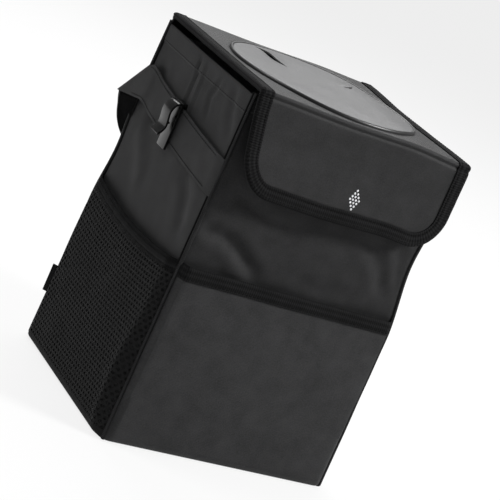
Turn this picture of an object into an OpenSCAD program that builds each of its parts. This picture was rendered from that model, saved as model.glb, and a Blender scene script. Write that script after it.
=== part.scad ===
// Collapsible cloth car bin with a hinged lid, a front flap and a push-through opening with a cross cut.
// Millimetres. +Z is up, the front faces -Y, and the origin is the middle of the underside of the base.

/* [Body] */
// Width across the side panels
body_w = 180; // [160:1:210]
// Depth from the front panel to the back panel
body_d = 160; // [140:1:180]
// Height of the rim above the floor
body_h = 266; // [250:1:320]
// Thickness of the coated outer cloth
cloth_t = 1.2; // [0.8:0.1:1.5]
// Thickness of the stiffening boards in the front, the back and the base
board_t = 1.6; // [1:0.1:2.5]
// Thickness of the waterproof liner
liner_t = 0.8; // [0.5:0.1:1.2]
// Depth of the hem at the rim, where the boards stop
hem_h = 14; // [10:1:20]
// Radius of the corded piping on the upright edges
piping_r = 1.5; // [1:0.1:2]
// How far the rims of the side panels and of the liner lie below the front and the back
rim_dip = 3; // [0:0.5:5]

/* [Lid and flap] */
// Thickness of the board inside the lid and inside the flap
lid_board_t = 1.4; // [1:0.1:2]
// Distance of the flap's board below the flap's upper edge, which leaves the fold soft
fold_gap = 5; // [3:0.5:8]
// Thickness of the lining under the lid and behind the flap
lining_t = 0.6; // [0.4:0.1:0.8]
// How far the lid and the flap reach past each side panel
lid_overhang = 0.8; // [0.5:0.1:2]
// Length of the flap below the top of the lid
flap_l = 69; // [55:1:80]
// Radius of the two lower corners of the flap
flap_corner_r = 28; // [16:1:34]
// Radius of the two back corners of the lid
lid_corner_r = 2.5; // [1:0.5:10]
// Width of the binding tape on the lid, the flap and the front pocket
tape_w = 10; // [7:0.5:12]
// Thickness of one layer of the binding tape
tape_t = 0.6; // [0.4:0.1:0.8]

/* [Push-through opening] */
// Room round the ring, to the line of the rim and to the binding of the lid
ring_margin = 6; // [4:1:20]
// Width of the ring seen from above
ring_w = 3; // [2.5:0.5:8]
// Height of the ring above the lid
ring_h = 2.4; // [2:0.1:6]
// How far the opening sits forward of the middle of the body
ring_forward = 7; // [0:0.5:8]
// Thickness of the supple disc
disc_t = 1; // [0.8:0.1:1.4]
// Distance of the ends of the cross cut from the ring
slit_margin = 8; // [4:1:30]
// Width of the cut
slit_w = 0.8; // [0.4:0.1:1.2]
// Turn of the cross cut from the corners of the lid, in degrees
slit_turn = 38; // [0:1:90]

/* [Hook and loop closure] */
// Length of the two strips
grip_l = 110; // [60:1:130]
// Width of the two strips
grip_w = 20; // [15:1:25]
// Thickness of each strip
grip_t = 1.6; // [0.8:0.1:1.8]
// Height of the strips above the lower edge of the flap
grip_up = 16; // [13:0.5:20]

/* [Front pocket] */
// Height of the mouth of the front pocket
pocket_h = 139; // [100:1:160]
// How far the front pocket stands off the front panel
pocket_stand = 7; // [6.5:0.5:12]
// Width of the slanted return at each side of a pocket
pocket_return = 9; // [6:0.5:14]

/* [Mesh pockets] */
// Height of the mesh pockets at their two sides
mesh_h = 140; // [100:1:150]
// Sag of the mouth of a mesh pocket at its middle
mesh_sag = 7; // [4:0.5:10]
// How far a mesh pocket stands off the side panel
mesh_stand = 7; // [6.5:0.5:12]
// Width of the elastic hem on a mesh pocket
mesh_hem_w = 8; // [6:0.5:10]
// Distance between the holes of the mesh
mesh_pitch = 12.4; // [12.4:0.2:16]
// Width left between two holes
mesh_web = 2.6; // [2:0.1:4]

/* [Strap] */
// Width of the strap
strap_w = 28; // [22:1:30]
// Thickness of the strap
strap_t = 1.3; // [1:0.1:1.6]
// Distance of the middle of the strap below the rim, at the front seam
strap_drop = 63; // [50:1:75]
// Rise of the strap from the front seam to the back edge
strap_rise = 16; // [5:1:20]
// Share of the rise that a straight strap would have at the front seam
strap_front_slope = 0.5; // [0.3:0.05:1]
// Room between the strap and the side panel
strap_off = 1.8; // [1.5:0.1:2.4]
// Room between the back panel and the loop of strap that hangs behind it
loop_room = 4.5; // [4.4:0.1:8]
// Distance of the middle of the buckle below the rim
loop_drop = 123; // [100:1:150]
// How far the loop leans inwards below its fold, which sets how full it hangs
loop_lean = 10; // [0:1:16]
// Length of the strap's end turned back at the buckle
strap_tail = 20; // [12:1:28]

/* [Buckle] */
// Length of the buckle when it is shut
buckle_l = 54; // [48:1:60]
// Thickness of the buckle's housing
buckle_t = 9; // [8:0.5:10]
// Radius of the bars that hold the strap
buckle_bar_r = 1.5; // [1.2:0.1:1.8]
// Wall of the buckle's housing
buckle_wall = 1.8; // [1.4:0.1:2]

/* [Bag clips] */
// Width of a bag clip
clip_w = 13; // [10:0.5:16]
// Length of the clip's plate
clip_l = 34; // [34:1:42]
// Thickness of the clip's plate
clip_t = 2.0; // [1.6:0.1:2.4]
// Thickness of the clip's leg behind the strap
clip_leg_t = 1.2; // [0.8:0.1:1.2]
// How far the spring arm bows out from the plate
clip_bow = 8; // [7:0.5:9]
// How far the arm's tip flares out beyond the bow
clip_flare = 3.2; // [2:0.2:4]
// Thickness of the clip's spring arm
clip_arm_t = 1.6; // [1.2:0.1:1.8]
// Radius of the nub inside the arm's bow
clip_nub_r = 0.9; // [0.5:0.1:0.9]
// Length of the clip's leg behind the strap
clip_leg_l = 22; // [12:1:26]
// Place of the clip behind the middle of the side panel
clip_y = 7; // [-20:1:20]

/* [Seam tab] */
// Height of the folded tab in the back seam
tab_h = 22; // [15:1:30]
// Height of the lower edge of the tab above the floor
tab_z = 36; // [20:1:60]
// How far the tab stands out of the seam
tab_out = 4; // [3:0.5:10]
// Thickness of the folded tab
tab_t = 1.4; // [1:0.1:2]

/* [Reflector dots] */
// Radius of one dot
dot_r = 0.85; // [0.5:0.05:1.1]
// Height of one dot above the cloth
dot_h = 0.4; // [0.2:0.1:0.8]
// Distance between two dots
dot_pitch = 2.6; // [2.4:0.1:3.2]
// Place of the dots right of the middle
dot_x = 9; // [-20:1:20]
// Height of the lowest dot above the lower edge of the flap
dot_up = 12; // [11:0.5:20]

/* [Hidden] */
$fn = 48;
// Clearance between layers that lie on each other
fit = 0.3;
// Overlap used only to cut cleanly through a face
cut = 1;

half_w = body_w / 2;
half_d = body_d / 2;
base_top = cloth_t + fit + board_t;
// Inner faces of the cloth and of the boards
side_in = half_w - cloth_t;
front_in = half_d - cloth_t - fit - board_t - fit;

// The lid lies a clearance above the rim. Its layers, from below, are tape, lining, board, cloth and tape.
lid_z = body_h + fit;
lining_z = lid_z + tape_t;
lid_board_z = lining_z + lining_t;
lid_cloth_z = lid_board_z + lid_board_t;
lid_top = lid_cloth_z + cloth_t;
lid_stack = lid_top - lining_z;
lid_half_w = half_w + lid_overhang;
piping_off = (piping_r + 0.1) / sqrt(2);
piping_out = piping_off + piping_r;
flap_half_w = lid_half_w;
lid_back = half_d;
// The flap hangs in front of the two gripping strips and of the front pipings
grip_y = half_d + grip_t;
flap_grip_y = grip_y + fit;
flap_in = max(flap_grip_y + grip_t, half_d + piping_out + fit + tape_t);
flap_out = flap_in + lining_t + lid_board_t + cloth_t;
flap_bottom = lid_top - flap_l;
flap_top = lid_cloth_z - fit;
flap_h = flap_top - flap_bottom;
// Front edge of the lining and the board of the lid, clear of the flap as it swings
lid_front = flap_in - tape_t - fit;

ring_y = -ring_forward;
ring_r = min(half_d, lid_half_w - tape_w) - ring_margin;
hole_r = ring_r - ring_w;
slit_l = hole_r - slit_margin;

side_pocket_w = body_d - 2 * piping_r;
front_pocket_w = body_w - 2 * piping_r;
sheet_t = cloth_t;

strap_x = half_w + strap_off + strap_t / 2;
strap_front_z = body_h - strap_drop;
strap_back_z = strap_front_z + strap_rise;
// The strap is folded behind each side panel, so that its loop hangs with its width from front to back
fold_z = strap_back_z - 1;
side_strap_x = half_w + piping_out + fit + strap_t / 2;
loop_strap_x = side_strap_x - strap_t + 0.05;
loop_y = half_d + loop_room;
loop_z = body_h - loop_drop;
buckle_y = loop_y + strap_w / 2;
buckle_w = strap_w + 8;
bar_x = buckle_l / 2 - buckle_bar_r;
wrap_r = buckle_bar_r + fit + strap_t / 2;

clip_top = strap_height(clip_y + clip_w / 2) + strap_w / 2 + fit;
clip_plate_x = half_w + strap_off + strap_t + fit;

// A box given by its lowest and highest corners
module block(low, high) {
    translate(low) cube(high - low);
}

// Points of a cubic curve between a and d, with b and c as handles, without the last point
function curve(a, b, c, d, n) = [
    for (i = [0 : n - 1])
        let (t = i / n, u = 1 - t)
        u * u * u * a + 3 * u * u * t * b + 3 * u * t * t * c + t * t * t * d
];

// Sideways unit vector of a path in the XY plane at point i
function across(path, i) =
    let (
        a = path[max(i - 1, 0)],
        b = path[min(i + 1, len(path) - 1)],
        d = [b[0] - a[0], b[1] - a[1]]
    )
    [-d[1], d[0]] / norm(d);

// Outline of a strip of thickness t along a flat path
function strip_outline(path, t) = concat(
    [for (i = [0 : len(path) - 1]) let (n = across(path, i)) [path[i][0], path[i][1]] + n * t / 2],
    [for (i = [len(path) - 1 : -1 : 0]) let (n = across(path, i)) [path[i][0], path[i][1]] - n * t / 2]
);

// Upright ribbon of width w and thickness t along a path of points in space
module ribbon(path, w, t) {
    n = len(path);
    points = [
        for (i = [0 : n - 1])
            let (s = across(path, i) * t / 2, p = path[i])
            for (corner = [[1, -1], [1, 1], [-1, 1], [-1, -1]])
                [p[0] + s[0] * corner[0], p[1] + s[1] * corner[0], p[2] + corner[1] * w / 2]
    ];
    walls = [
        for (i = [0 : n - 2])
            for (k = [0 : 3])
                let (a = 4 * i + k, b = 4 * i + (k + 1) % 4)
                for (face = [[a, b + 4, b], [a, a + 4, b + 4]])
                    face
    ];
    ends = [[0, 1, 2], [0, 2, 3], [4 * n - 2, 4 * n - 3, 4 * n - 4], [4 * n - 1, 4 * n - 2, 4 * n - 4]];
    polyhedron(points, concat(walls, ends));
}

// Rectangle whose lower corners are round, with its upper edge on the X axis
module flap_outline(w, h, r) {
    translate([-w / 2, -(h - r)]) square([w, h - r]);
    translate([-w / 2 + r, -h]) square([w - 2 * r, r + 0.01]);
    for (side = [-1, 1])
        translate([side * (w / 2 - r), -(h - r)]) circle(r);
}

// Rectangle from the flap's fold to the back of the lid, with its two back corners round
module lid_outline(front) {
    rotate(180) translate([0, front]) flap_outline(2 * lid_half_w, front + lid_back, lid_corner_r);
}

module front_panel() {
    color([0.20, 0.20, 0.20])
        block([-half_w, -half_d, cloth_t], [half_w, -half_d + cloth_t, body_h]);
}

module back_panel() {
    color([0.20, 0.20, 0.20])
        block([-half_w, half_d - cloth_t, cloth_t], [half_w, half_d, body_h]);
}

module side_panel() {
    color([0.21, 0.21, 0.21])
        block([-half_w, -half_d + cloth_t, cloth_t], [-side_in, half_d - cloth_t, body_h - rim_dip]);
}

module base_panel() {
    color([0.15, 0.15, 0.15])
        block([-half_w, -half_d, 0], [half_w, half_d, cloth_t]);
}

module wall_board() {
    color([0.30, 0.30, 0.30])
        block(
            [-side_in + fit, -half_d + cloth_t + fit, base_top + fit],
            [side_in - fit, -half_d + cloth_t + fit + board_t, body_h - hem_h]
        );
}

module base_board() {
    color([0.30, 0.30, 0.30])
        block(
            [-side_in + fit, -half_d + cloth_t + fit, cloth_t + fit],
            [side_in - fit, half_d - cloth_t - fit, base_top]
        );
}

module liner() {
    x = side_in - fit;
    y = front_in;
    color([0.55, 0.56, 0.58])
        difference() {
            block([-x, -y, base_top + fit], [x, y, body_h - rim_dip - 1]);
            block([-x + liner_t, -y + liner_t, base_top + fit + liner_t], [x - liner_t, y - liner_t, body_h]);
        }
}

module corner_piping() {
    color([0.10, 0.10, 0.10])
        translate([-half_w - piping_off, -half_d - piping_off, 0])
            cylinder(h = body_h, r = piping_r);
}

// Room inside a pocket of width w that stands off its panel, up to height h. The panel is the plane y = 0.
module pocket_room(w, h, stand, low) {
    intersection() {
        linear_extrude(height = h)
            polygon([[-w / 2, 0], [w / 2, 0], [w / 2 - pocket_return, -stand], [-w / 2 + pocket_return, -stand]]);
        rotate([90, 0, 90])
            translate([0, 0, -w / 2])
                linear_extrude(height = w)
                    polygon([[0, low], [0, h], [-stand, h], [-stand, low + stand / 2]]);
    }
}

// Cloth of a pocket: a sheet with slanted returns at its sides and its foot, open at the top
module pocket_sheet(w, h, stand) {
    difference() {
        pocket_room(w, h, stand, 0);
        pocket_room(w - 3 * sheet_t, h + cut, stand - sheet_t, 1.5 * sheet_t);
    }
}

// Tape folded over the mouth of a pocket, without the sheet that it grips
module mouth_tape(w, stand) {
    difference() {
        pocket_room(w + tape_t, 2 * body_h, stand + tape_t, -cut);
        pocket_room(w - 3 * sheet_t - tape_t, 2 * body_h + cut, stand - sheet_t - tape_t, -2 * cut);
        translate([-w, 0, -cut]) cube([2 * w, cut, 3 * body_h]);
    }
}

module front_pocket() {
    color([0.23, 0.23, 0.23])
        translate([0, -half_d, 0])
            pocket_sheet(front_pocket_w, pocket_h, pocket_stand);
}

module front_pocket_binding() {
    color([0.12, 0.12, 0.12])
        translate([0, -half_d, 0])
            difference() {
                intersection() {
                    mouth_tape(front_pocket_w, pocket_stand);
                    translate([-body_w, -body_d, pocket_h - tape_w])
                        cube([2 * body_w, body_d, tape_w + tape_t]);
                }
                pocket_sheet(front_pocket_w, pocket_h, pocket_stand);
            }
}

// Region under the sagging mouth of a mesh pocket, lowered by drop, as a slab across the pocket
module under_mouth(drop) {
    chord = side_pocket_w;
    r = (chord * chord / 4 + mesh_sag * mesh_sag) / (2 * mesh_sag);
    rotate([90, 0, 0])
        translate([0, 0, -body_d])
            linear_extrude(height = 2 * body_d)
                difference() {
                    translate([-chord, 0]) square([2 * chord, mesh_h + mesh_sag - drop]);
                    translate([0, mesh_h - mesh_sag - drop + r]) circle(r, $fn = 240);
                }
}

// Six-sided holes in staggered rows over the flat face of a mesh pocket
module mesh_holes() {
    face_w = side_pocket_w - 2 * pocket_return - 2 * mesh_web;
    low = mesh_stand / 2 + mesh_web;
    high = mesh_h - mesh_sag - mesh_hem_w - mesh_web;
    row_h = mesh_pitch * sqrt(3) / 2;
    columns = floor(face_w / mesh_pitch);
    rows = floor((high - low) / row_h);
    for (row = [0 : rows - 1])
        for (column = [0 : columns - 1 - row % 2])
            translate([
                (column - (columns - 1) / 2 + (row % 2) / 2) * mesh_pitch,
                -mesh_stand - cut,
                (low + high) / 2 + (row - (rows - 1) / 2) * row_h
            ])
                rotate([-90, 0, 0]) rotate(30)
                    cylinder(h = sheet_t + 2 * cut, r = (mesh_pitch - mesh_web) / sqrt(3), $fn = 6);
}

// The mesh pockets are drawn on the left panel, with their own X along the panel
module on_left_side() {
    translate([-half_w, 0, 0]) rotate(-90) children();
}

module mesh_pocket() {
    color([0.10, 0.10, 0.10])
        on_left_side()
            difference() {
                intersection() {
                    pocket_sheet(side_pocket_w, mesh_h, mesh_stand);
                    under_mouth(0);
                }
                mesh_holes();
            }
}

module mesh_hem() {
    color([0.14, 0.14, 0.14])
        on_left_side()
            difference() {
                intersection() {
                    mouth_tape(side_pocket_w, mesh_stand);
                    under_mouth(-tape_t);
                }
                under_mouth(mesh_hem_w);
                intersection() {
                    pocket_sheet(side_pocket_w, mesh_h, mesh_stand);
                    under_mouth(0);
                }
            }
}

// Middle line of the strap's upright part: along the side panel and past the back edge
function strap_height(y) =
    let (t = (y + half_d) / body_d)
    strap_front_z + strap_rise * t * (strap_front_slope + (1 - strap_front_slope) * t);
function side_path() =
    let (
        seam = [-half_w - fit - strap_t / 2, -half_d - piping_off + piping_r + fit, strap_height(-half_d)],
        front_y = -half_d + 8,
        leave_y = half_d - 24,
        leave = [-strap_x, leave_y, strap_height(leave_y)],
        edge = [-side_strap_x, half_d + piping_off, fold_z],
        end = [-side_strap_x, loop_y + strap_w + cut, fold_z]
    )
    concat(
        [seam],
        [
            for (i = [0 : 7])
                let (y = front_y + (leave_y - front_y) * i / 8)
                [-strap_x, y, strap_height(y)]
        ],
        curve(leave, leave + [0, 10, 1.6], edge - [0, 10, 0], edge, 5),
        [edge, end]
    );

// Middle line of the left half of the hanging loop, seen from the front: down from the fold, in, and round the bar
function loop_path() =
    let (
        bend = [-loop_strap_x, fold_z - strap_w / 2],
        near = [-bar_x - 8, loop_z + wrap_r],
        bar = [-bar_x, loop_z]
    )
    concat(
        [[-loop_strap_x, fold_z + strap_w]],
        curve(bend, bend + [loop_lean, -20], near - [30, 0], near, 14),
        [for (a = [90 : -30 : -90]) bar + wrap_r * [cos(a), sin(a)]],
        [bar + [-strap_tail, -wrap_r]]
    );

// Left half of the strap. Its upright part and its loop meet on a slanting fold behind the side panel.
module strap() {
    color([0.20, 0.20, 0.20])
        difference() {
            union() {
                ribbon(side_path(), strap_w, strap_t);
                translate([0, loop_y + strap_w, 0])
                    rotate([90, 0, 0])
                        linear_extrude(height = strap_w)
                            polygon(strip_outline(loop_path(), strap_t));
            }
            // What lies above the slanting fold
            translate([-side_strap_x, loop_y, fold_z + strap_w / 2])
                rotate([-45, 0, 0])
                    translate([-strap_w / 2, -strap_w, 0])
                        cube([strap_w, 4 * strap_w, 2 * strap_w]);
        }
}

// Places a half of the buckle in the loop. It is drawn with its thickness along Y and its width along Z.
module in_loop() {
    translate([0, buckle_y, loop_z])
        rotate([90, 0, 0])
            children();
}

// One half of the buckle's frame: the bar that the strap turns round, and the arms that carry it
module strap_bar(inner_x) {
    arm_t = 2 * buckle_bar_r;
    translate([-bar_x, 0, -buckle_w / 2]) cylinder(h = buckle_w, r = buckle_bar_r);
    for (side = [-1, 1])
        translate([-bar_x, -buckle_bar_r, side * (buckle_w / 2 - arm_t / 2) - arm_t / 2])
            cube([bar_x - inner_x, 2 * buckle_bar_r, arm_t]);
}

// Ends of the socket and of the plug's base along the buckle, measured from its middle
socket_left = -bar_x + wrap_r + strap_t / 2 + 2 * fit;
socket_right = 5;
plug_left = socket_right + fit;
plug_right = -socket_left;
prong_reach = 14;
prong_w = 3.2;
prong_t = buckle_t - 2 * buckle_wall - 2 * fit;
throat = buckle_w / 2 - 2 * buckle_wall;

module buckle_socket() {
    room_left = plug_left - prong_reach - 2 * fit;
    window_left = plug_left - prong_reach;
    color([0.06, 0.06, 0.06])
        in_loop() {
            strap_bar(-socket_left - cut);
            difference() {
                block(
                    [socket_left, -buckle_t / 2, -buckle_w / 2],
                    [socket_right, buckle_t / 2, buckle_w / 2]
                );
                // Room for the prongs, open to the right
                block(
                    [room_left, -prong_t / 2 - fit, -throat],
                    [socket_right + cut, prong_t / 2 + fit, throat]
                );
                // Window at each side, where the barbs are squeezed
                block(
                    [window_left, -prong_t / 2 - fit, -buckle_w],
                    [window_left + 9, prong_t / 2 + fit, buckle_w]
                );
            }
        }
}

module buckle_plug() {
    prong_left = plug_left - prong_reach + fit;
    color([0.07, 0.07, 0.07])
        in_loop() {
            mirror([1, 0, 0]) strap_bar(plug_left + cut);
            block(
                [plug_left, -buckle_t / 2, -buckle_w / 2],
                [plug_right, buckle_t / 2, buckle_w / 2]
            );
            for (side = [-1, 1])
                scale([1, 1, side])
                    rotate([90, 0, 0])
                        translate([0, 0, -prong_t / 2])
                            linear_extrude(height = prong_t)
                                polygon([
                                    [plug_left + cut, throat - fit - prong_w],
                                    [plug_left + cut, throat - fit],
                                    [prong_left + 9 - 2 * fit, throat - fit],
                                    [prong_left + 9 - 2 * fit, buckle_w / 2 - fit],
                                    [prong_left + 4, buckle_w / 2 - fit],
                                    [prong_left, throat - fit - 0.5],
                                    [prong_left, throat - fit - prong_w]
                                ]);
            // Guide between the two prongs
            block([prong_left + 2, -prong_t / 2, -2.5], [plug_left + cut, prong_t / 2, 2.5]);
        }
}

// Side view of a bag clip, as distance from the side panel against height
function clip_arm() =
    let (
        root = [clip_plate_x + clip_t / 2, clip_top + clip_t / 2],
        shoulder = [clip_plate_x + clip_bow, clip_top - 9],
        pinch = [clip_plate_x + clip_bow - 1, clip_top - clip_l / 2],
        tip = [clip_plate_x + clip_bow + clip_flare, clip_top - 0.72 * clip_l]
    )
    concat(
        curve(root, root + [clip_bow * 0.6, 0.6], shoulder + [0.6, 5], shoulder, 8),
        curve(shoulder, shoulder - [0.4, 3], pinch + [0, 3], pinch, 5),
        curve(pinch, pinch - [0, 3], tip + [-2, 2], tip, 5),
        [tip]
    );

// One moulded piece: a plate, a spring arm with a nub inside its bow, and a short leg behind the strap
module bag_clip() {
    leg_x = half_w + (strap_off - clip_leg_t) / 2;
    nub = [clip_plate_x + clip_bow - clip_arm_t / 2 - clip_nub_r, clip_top - 0.42 * clip_l];
    color([0.05, 0.05, 0.05])
        mirror([1, 0, 0])
            translate([0, clip_y + clip_w / 2, 0])
                rotate([90, 0, 0]) {
                    linear_extrude(height = clip_w)
                        polygon([
                            [leg_x, clip_top - clip_leg_l],
                            [leg_x, clip_top + clip_t],
                            [clip_plate_x + clip_t, clip_top + clip_t],
                            [clip_plate_x + clip_t, clip_top - clip_l],
                            [clip_plate_x, clip_top - clip_l],
                            [clip_plate_x, clip_top],
                            [leg_x + clip_leg_t, clip_top],
                            [leg_x + clip_leg_t, clip_top - clip_leg_l]
                        ]);
                    linear_extrude(height = clip_w)
                        polygon(strip_outline(clip_arm(), clip_arm_t));
                    translate([nub[0], nub[1], 0])
                        cylinder(h = clip_w, r = clip_nub_r, $fn = 24);
                }
}

// Folded tab that comes out of the back left seam, between the side and the back
module seam_tab() {
    color([0.09, 0.09, 0.09])
        translate([-half_w - piping_off, half_d + piping_off, tab_z])
            rotate(135)
                translate([piping_r + fit, -tab_t / 2, 0])
                    cube([tab_out, tab_t, tab_h]);
}

module front_grip_strip() {
    color([0.08, 0.08, 0.08])
        block(
            [-grip_l / 2, -grip_y, flap_bottom + grip_up],
            [grip_l / 2, -half_d, flap_bottom + grip_up + grip_w]
        );
}

module lid_hinge_tape() {
    x = half_w - piping_r;
    color([0.12, 0.12, 0.12])
        block([-x, half_d, body_h - hem_h], [x, half_d + tape_t, body_h]);
}

module lid_cloth() {
    color([0.34, 0.34, 0.34])
        translate([0, 0, lid_cloth_z])
            difference() {
                linear_extrude(height = cloth_t) lid_outline(flap_out);
                translate([0, ring_y, -cut]) cylinder(h = cloth_t + 2 * cut, r = hole_r);
            }
}

module lid_board() {
    color([0.30, 0.30, 0.30])
        translate([0, 0, lid_board_z])
            difference() {
                linear_extrude(height = lid_board_t) lid_outline(lid_front);
                translate([0, ring_y, -cut]) cylinder(h = lid_board_t + 2 * cut, r = hole_r);
            }
}

module lid_lining() {
    color([0.16, 0.16, 0.16])
        translate([0, 0, lining_z])
            difference() {
                linear_extrude(height = lining_t) lid_outline(lid_front);
                translate([0, ring_y, -cut]) cylinder(h = lining_t + 2 * cut, r = hole_r);
            }
}

// Tape folded round the left edge of the lid
module lid_binding() {
    back = lid_back - lid_corner_r;
    color([0.15, 0.15, 0.15])
        difference() {
            block([-lid_half_w - tape_t, -flap_out, lid_z], [-lid_half_w + tape_w, back, lid_top + tape_t]);
            block([-lid_half_w, -flap_out - cut, lining_z], [0, back + cut, lid_top]);
            block([-half_w - cut - tape_w, -flap_out - cut, lid_z - cut], [0, -lid_front, lid_cloth_z]);
        }
}

// Raised ring that holds the edge of the disc, with a rounded top and a groove for the disc
module opening_ring() {
    bead = ring_w / 2;
    color([0.10, 0.10, 0.10])
        translate([0, ring_y, lid_top])
            difference() {
                rotate_extrude($fn = 96)
                    intersection() {
                        translate([ring_r - ring_w, 0]) square([ring_w, ring_h]);
                        union() {
                            translate([ring_r - ring_w, 0]) square([ring_w, ring_h - bead]);
                            translate([ring_r - bead, ring_h - bead]) circle(bead, $fn = 32);
                        }
                    }
                translate([0, 0, ring_h / 2 - disc_t / 2 - 0.05])
                    cylinder(h = disc_t + 0.1, r = hole_r + ring_w / 2 + fit);
            }
}

// Supple disc with four petals that part when litter is pushed through
module opening_disc() {
    color([0.66, 0.66, 0.66])
        translate([0, ring_y, lid_top + ring_h / 2 - disc_t / 2])
            difference() {
                cylinder(h = disc_t, r = hole_r + ring_w / 2, $fn = 96);
                for (turn = [0, 90])
                    rotate(slit_turn + turn)
                        translate([-slit_l, -slit_w / 2, -cut])
                            cube([2 * slit_l, slit_w, disc_t + 2 * cut]);
            }
}

// Draws a flat shape upright in front of the bin, with its X axis at the top of the flap
module on_flap(y, t) {
    translate([0, -y, flap_top])
        rotate([90, 0, 0])
            linear_extrude(height = t)
                children();
}

module flap_cloth() {
    color([0.21, 0.21, 0.21])
        on_flap(flap_out - cloth_t, cloth_t)
            flap_outline(2 * flap_half_w, flap_h, flap_corner_r);
}

module flap_board() {
    color([0.30, 0.30, 0.30])
        on_flap(flap_in + lining_t, lid_board_t)
            translate([0, -fold_gap]) flap_outline(2 * flap_half_w, flap_h - fold_gap, flap_corner_r);
}

module flap_lining() {
    color([0.16, 0.16, 0.16])
        on_flap(flap_in, lining_t)
            flap_outline(2 * flap_half_w, flap_h, flap_corner_r);
}

// Tape folded round the free edges of the flap
module flap_binding() {
    outer_w = 2 * (flap_half_w + tape_t);
    color([0.15, 0.15, 0.15]) {
        for (y = [flap_in - tape_t, flap_out])
            on_flap(y, tape_t)
                difference() {
                    flap_outline(outer_w, flap_h + tape_t, flap_corner_r + tape_t);
                    translate([0, cut])
                        flap_outline(outer_w - 2 * tape_t - 2 * tape_w, flap_h + cut - tape_w, flap_corner_r - tape_w);
                }
        on_flap(flap_in - tape_t, flap_out - flap_in + 2 * tape_t)
            difference() {
                flap_outline(outer_w, flap_h + tape_t, flap_corner_r + tape_t);
                translate([0, cut]) flap_outline(2 * flap_half_w, flap_h + cut, flap_corner_r);
            }
    }
}

module flap_grip_strip() {
    color([0.08, 0.08, 0.08])
        block(
            [-grip_l / 2, -flap_in, flap_bottom + grip_up],
            [grip_l / 2, -flap_grip_y, flap_bottom + grip_up + grip_w]
        );
}

// Raised reflective dots in a plain diamond
module reflector_dots() {
    rows = [1, 2, 3, 4, 3, 2, 1];
    for (row = [0 : len(rows) - 1])
        for (i = [0 : rows[row] - 1])
            color([0.85, 0.85, 0.85])
                translate([
                    dot_x + (i - (rows[row] - 1) / 2) * dot_pitch,
                    -flap_out,
                    flap_bottom + dot_up + row * dot_pitch * sin(60)
                ])
                    rotate([90, 0, 0]) cylinder(h = dot_h, r = dot_r, $fn = 16);
}

front_panel();
back_panel();
side_panel();  // left_panel
mirror([1, 0, 0]) side_panel();  // right_panel
base_panel();
wall_board();  // front_board
mirror([0, 1, 0]) wall_board();  // back_board
base_board();
liner();
corner_piping();  // front_left_piping
mirror([1, 0, 0]) corner_piping();  // front_right_piping
mirror([0, 1, 0]) corner_piping();  // back_left_piping
rotate(180) corner_piping();  // back_right_piping
front_pocket();
front_pocket_binding();
mesh_pocket();  // left_mesh_pocket
mesh_hem();  // left_mesh_hem
mirror([1, 0, 0]) mesh_pocket();  // right_mesh_pocket
mirror([1, 0, 0]) mesh_hem();  // right_mesh_hem
strap();  // left_strap
mirror([1, 0, 0]) strap();  // right_strap
buckle_socket();
buckle_plug();
bag_clip();  // left_bag_clip
mirror([1, 0, 0]) bag_clip();  // right_bag_clip
seam_tab();
front_grip_strip();
lid_hinge_tape();
lid_cloth();
lid_board();
lid_lining();
lid_binding();  // lid_left_binding
mirror([1, 0, 0]) lid_binding();  // lid_right_binding
opening_ring();
opening_disc();
flap_cloth();
flap_board();
flap_lining();
flap_binding();
flap_grip_strip();
reflector_dots();
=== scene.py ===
"""Soft-sided car bin: boarded cloth body, mesh pockets, bound lid with a push-through disc, and a flap."""
import math
from collections import Counter
from contextlib import contextmanager

import bpy
from bpy.props import FloatProperty, FloatVectorProperty, PointerProperty
from mathutils import Matrix, Vector, noise


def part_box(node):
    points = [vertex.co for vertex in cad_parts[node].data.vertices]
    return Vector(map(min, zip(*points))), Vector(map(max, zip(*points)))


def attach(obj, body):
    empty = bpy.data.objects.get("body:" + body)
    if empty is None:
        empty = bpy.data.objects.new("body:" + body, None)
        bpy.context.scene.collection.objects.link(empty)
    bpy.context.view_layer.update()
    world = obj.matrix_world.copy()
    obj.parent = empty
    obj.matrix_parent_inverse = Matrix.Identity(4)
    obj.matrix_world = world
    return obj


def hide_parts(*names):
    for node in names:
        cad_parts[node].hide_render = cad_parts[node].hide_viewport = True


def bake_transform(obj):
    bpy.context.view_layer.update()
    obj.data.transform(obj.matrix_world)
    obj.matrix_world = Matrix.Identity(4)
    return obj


bl_info = {
    "name": "Cloth Car Bin",
    "version": (1, 0, 0),
    "blender": (4, 5, 0),
    "location": "View3D > Sidebar > Car Bin",
    "description": "Builds the cloth, tape, mesh, strap and fittings of a boarded car bin",
    "category": "Add Mesh",
}

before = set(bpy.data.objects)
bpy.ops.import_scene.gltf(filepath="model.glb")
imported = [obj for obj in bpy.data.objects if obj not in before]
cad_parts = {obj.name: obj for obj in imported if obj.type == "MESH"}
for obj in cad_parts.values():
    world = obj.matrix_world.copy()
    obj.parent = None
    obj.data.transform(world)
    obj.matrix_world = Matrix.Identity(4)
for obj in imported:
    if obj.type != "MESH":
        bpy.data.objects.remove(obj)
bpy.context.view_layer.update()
MM = 0.001

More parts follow.
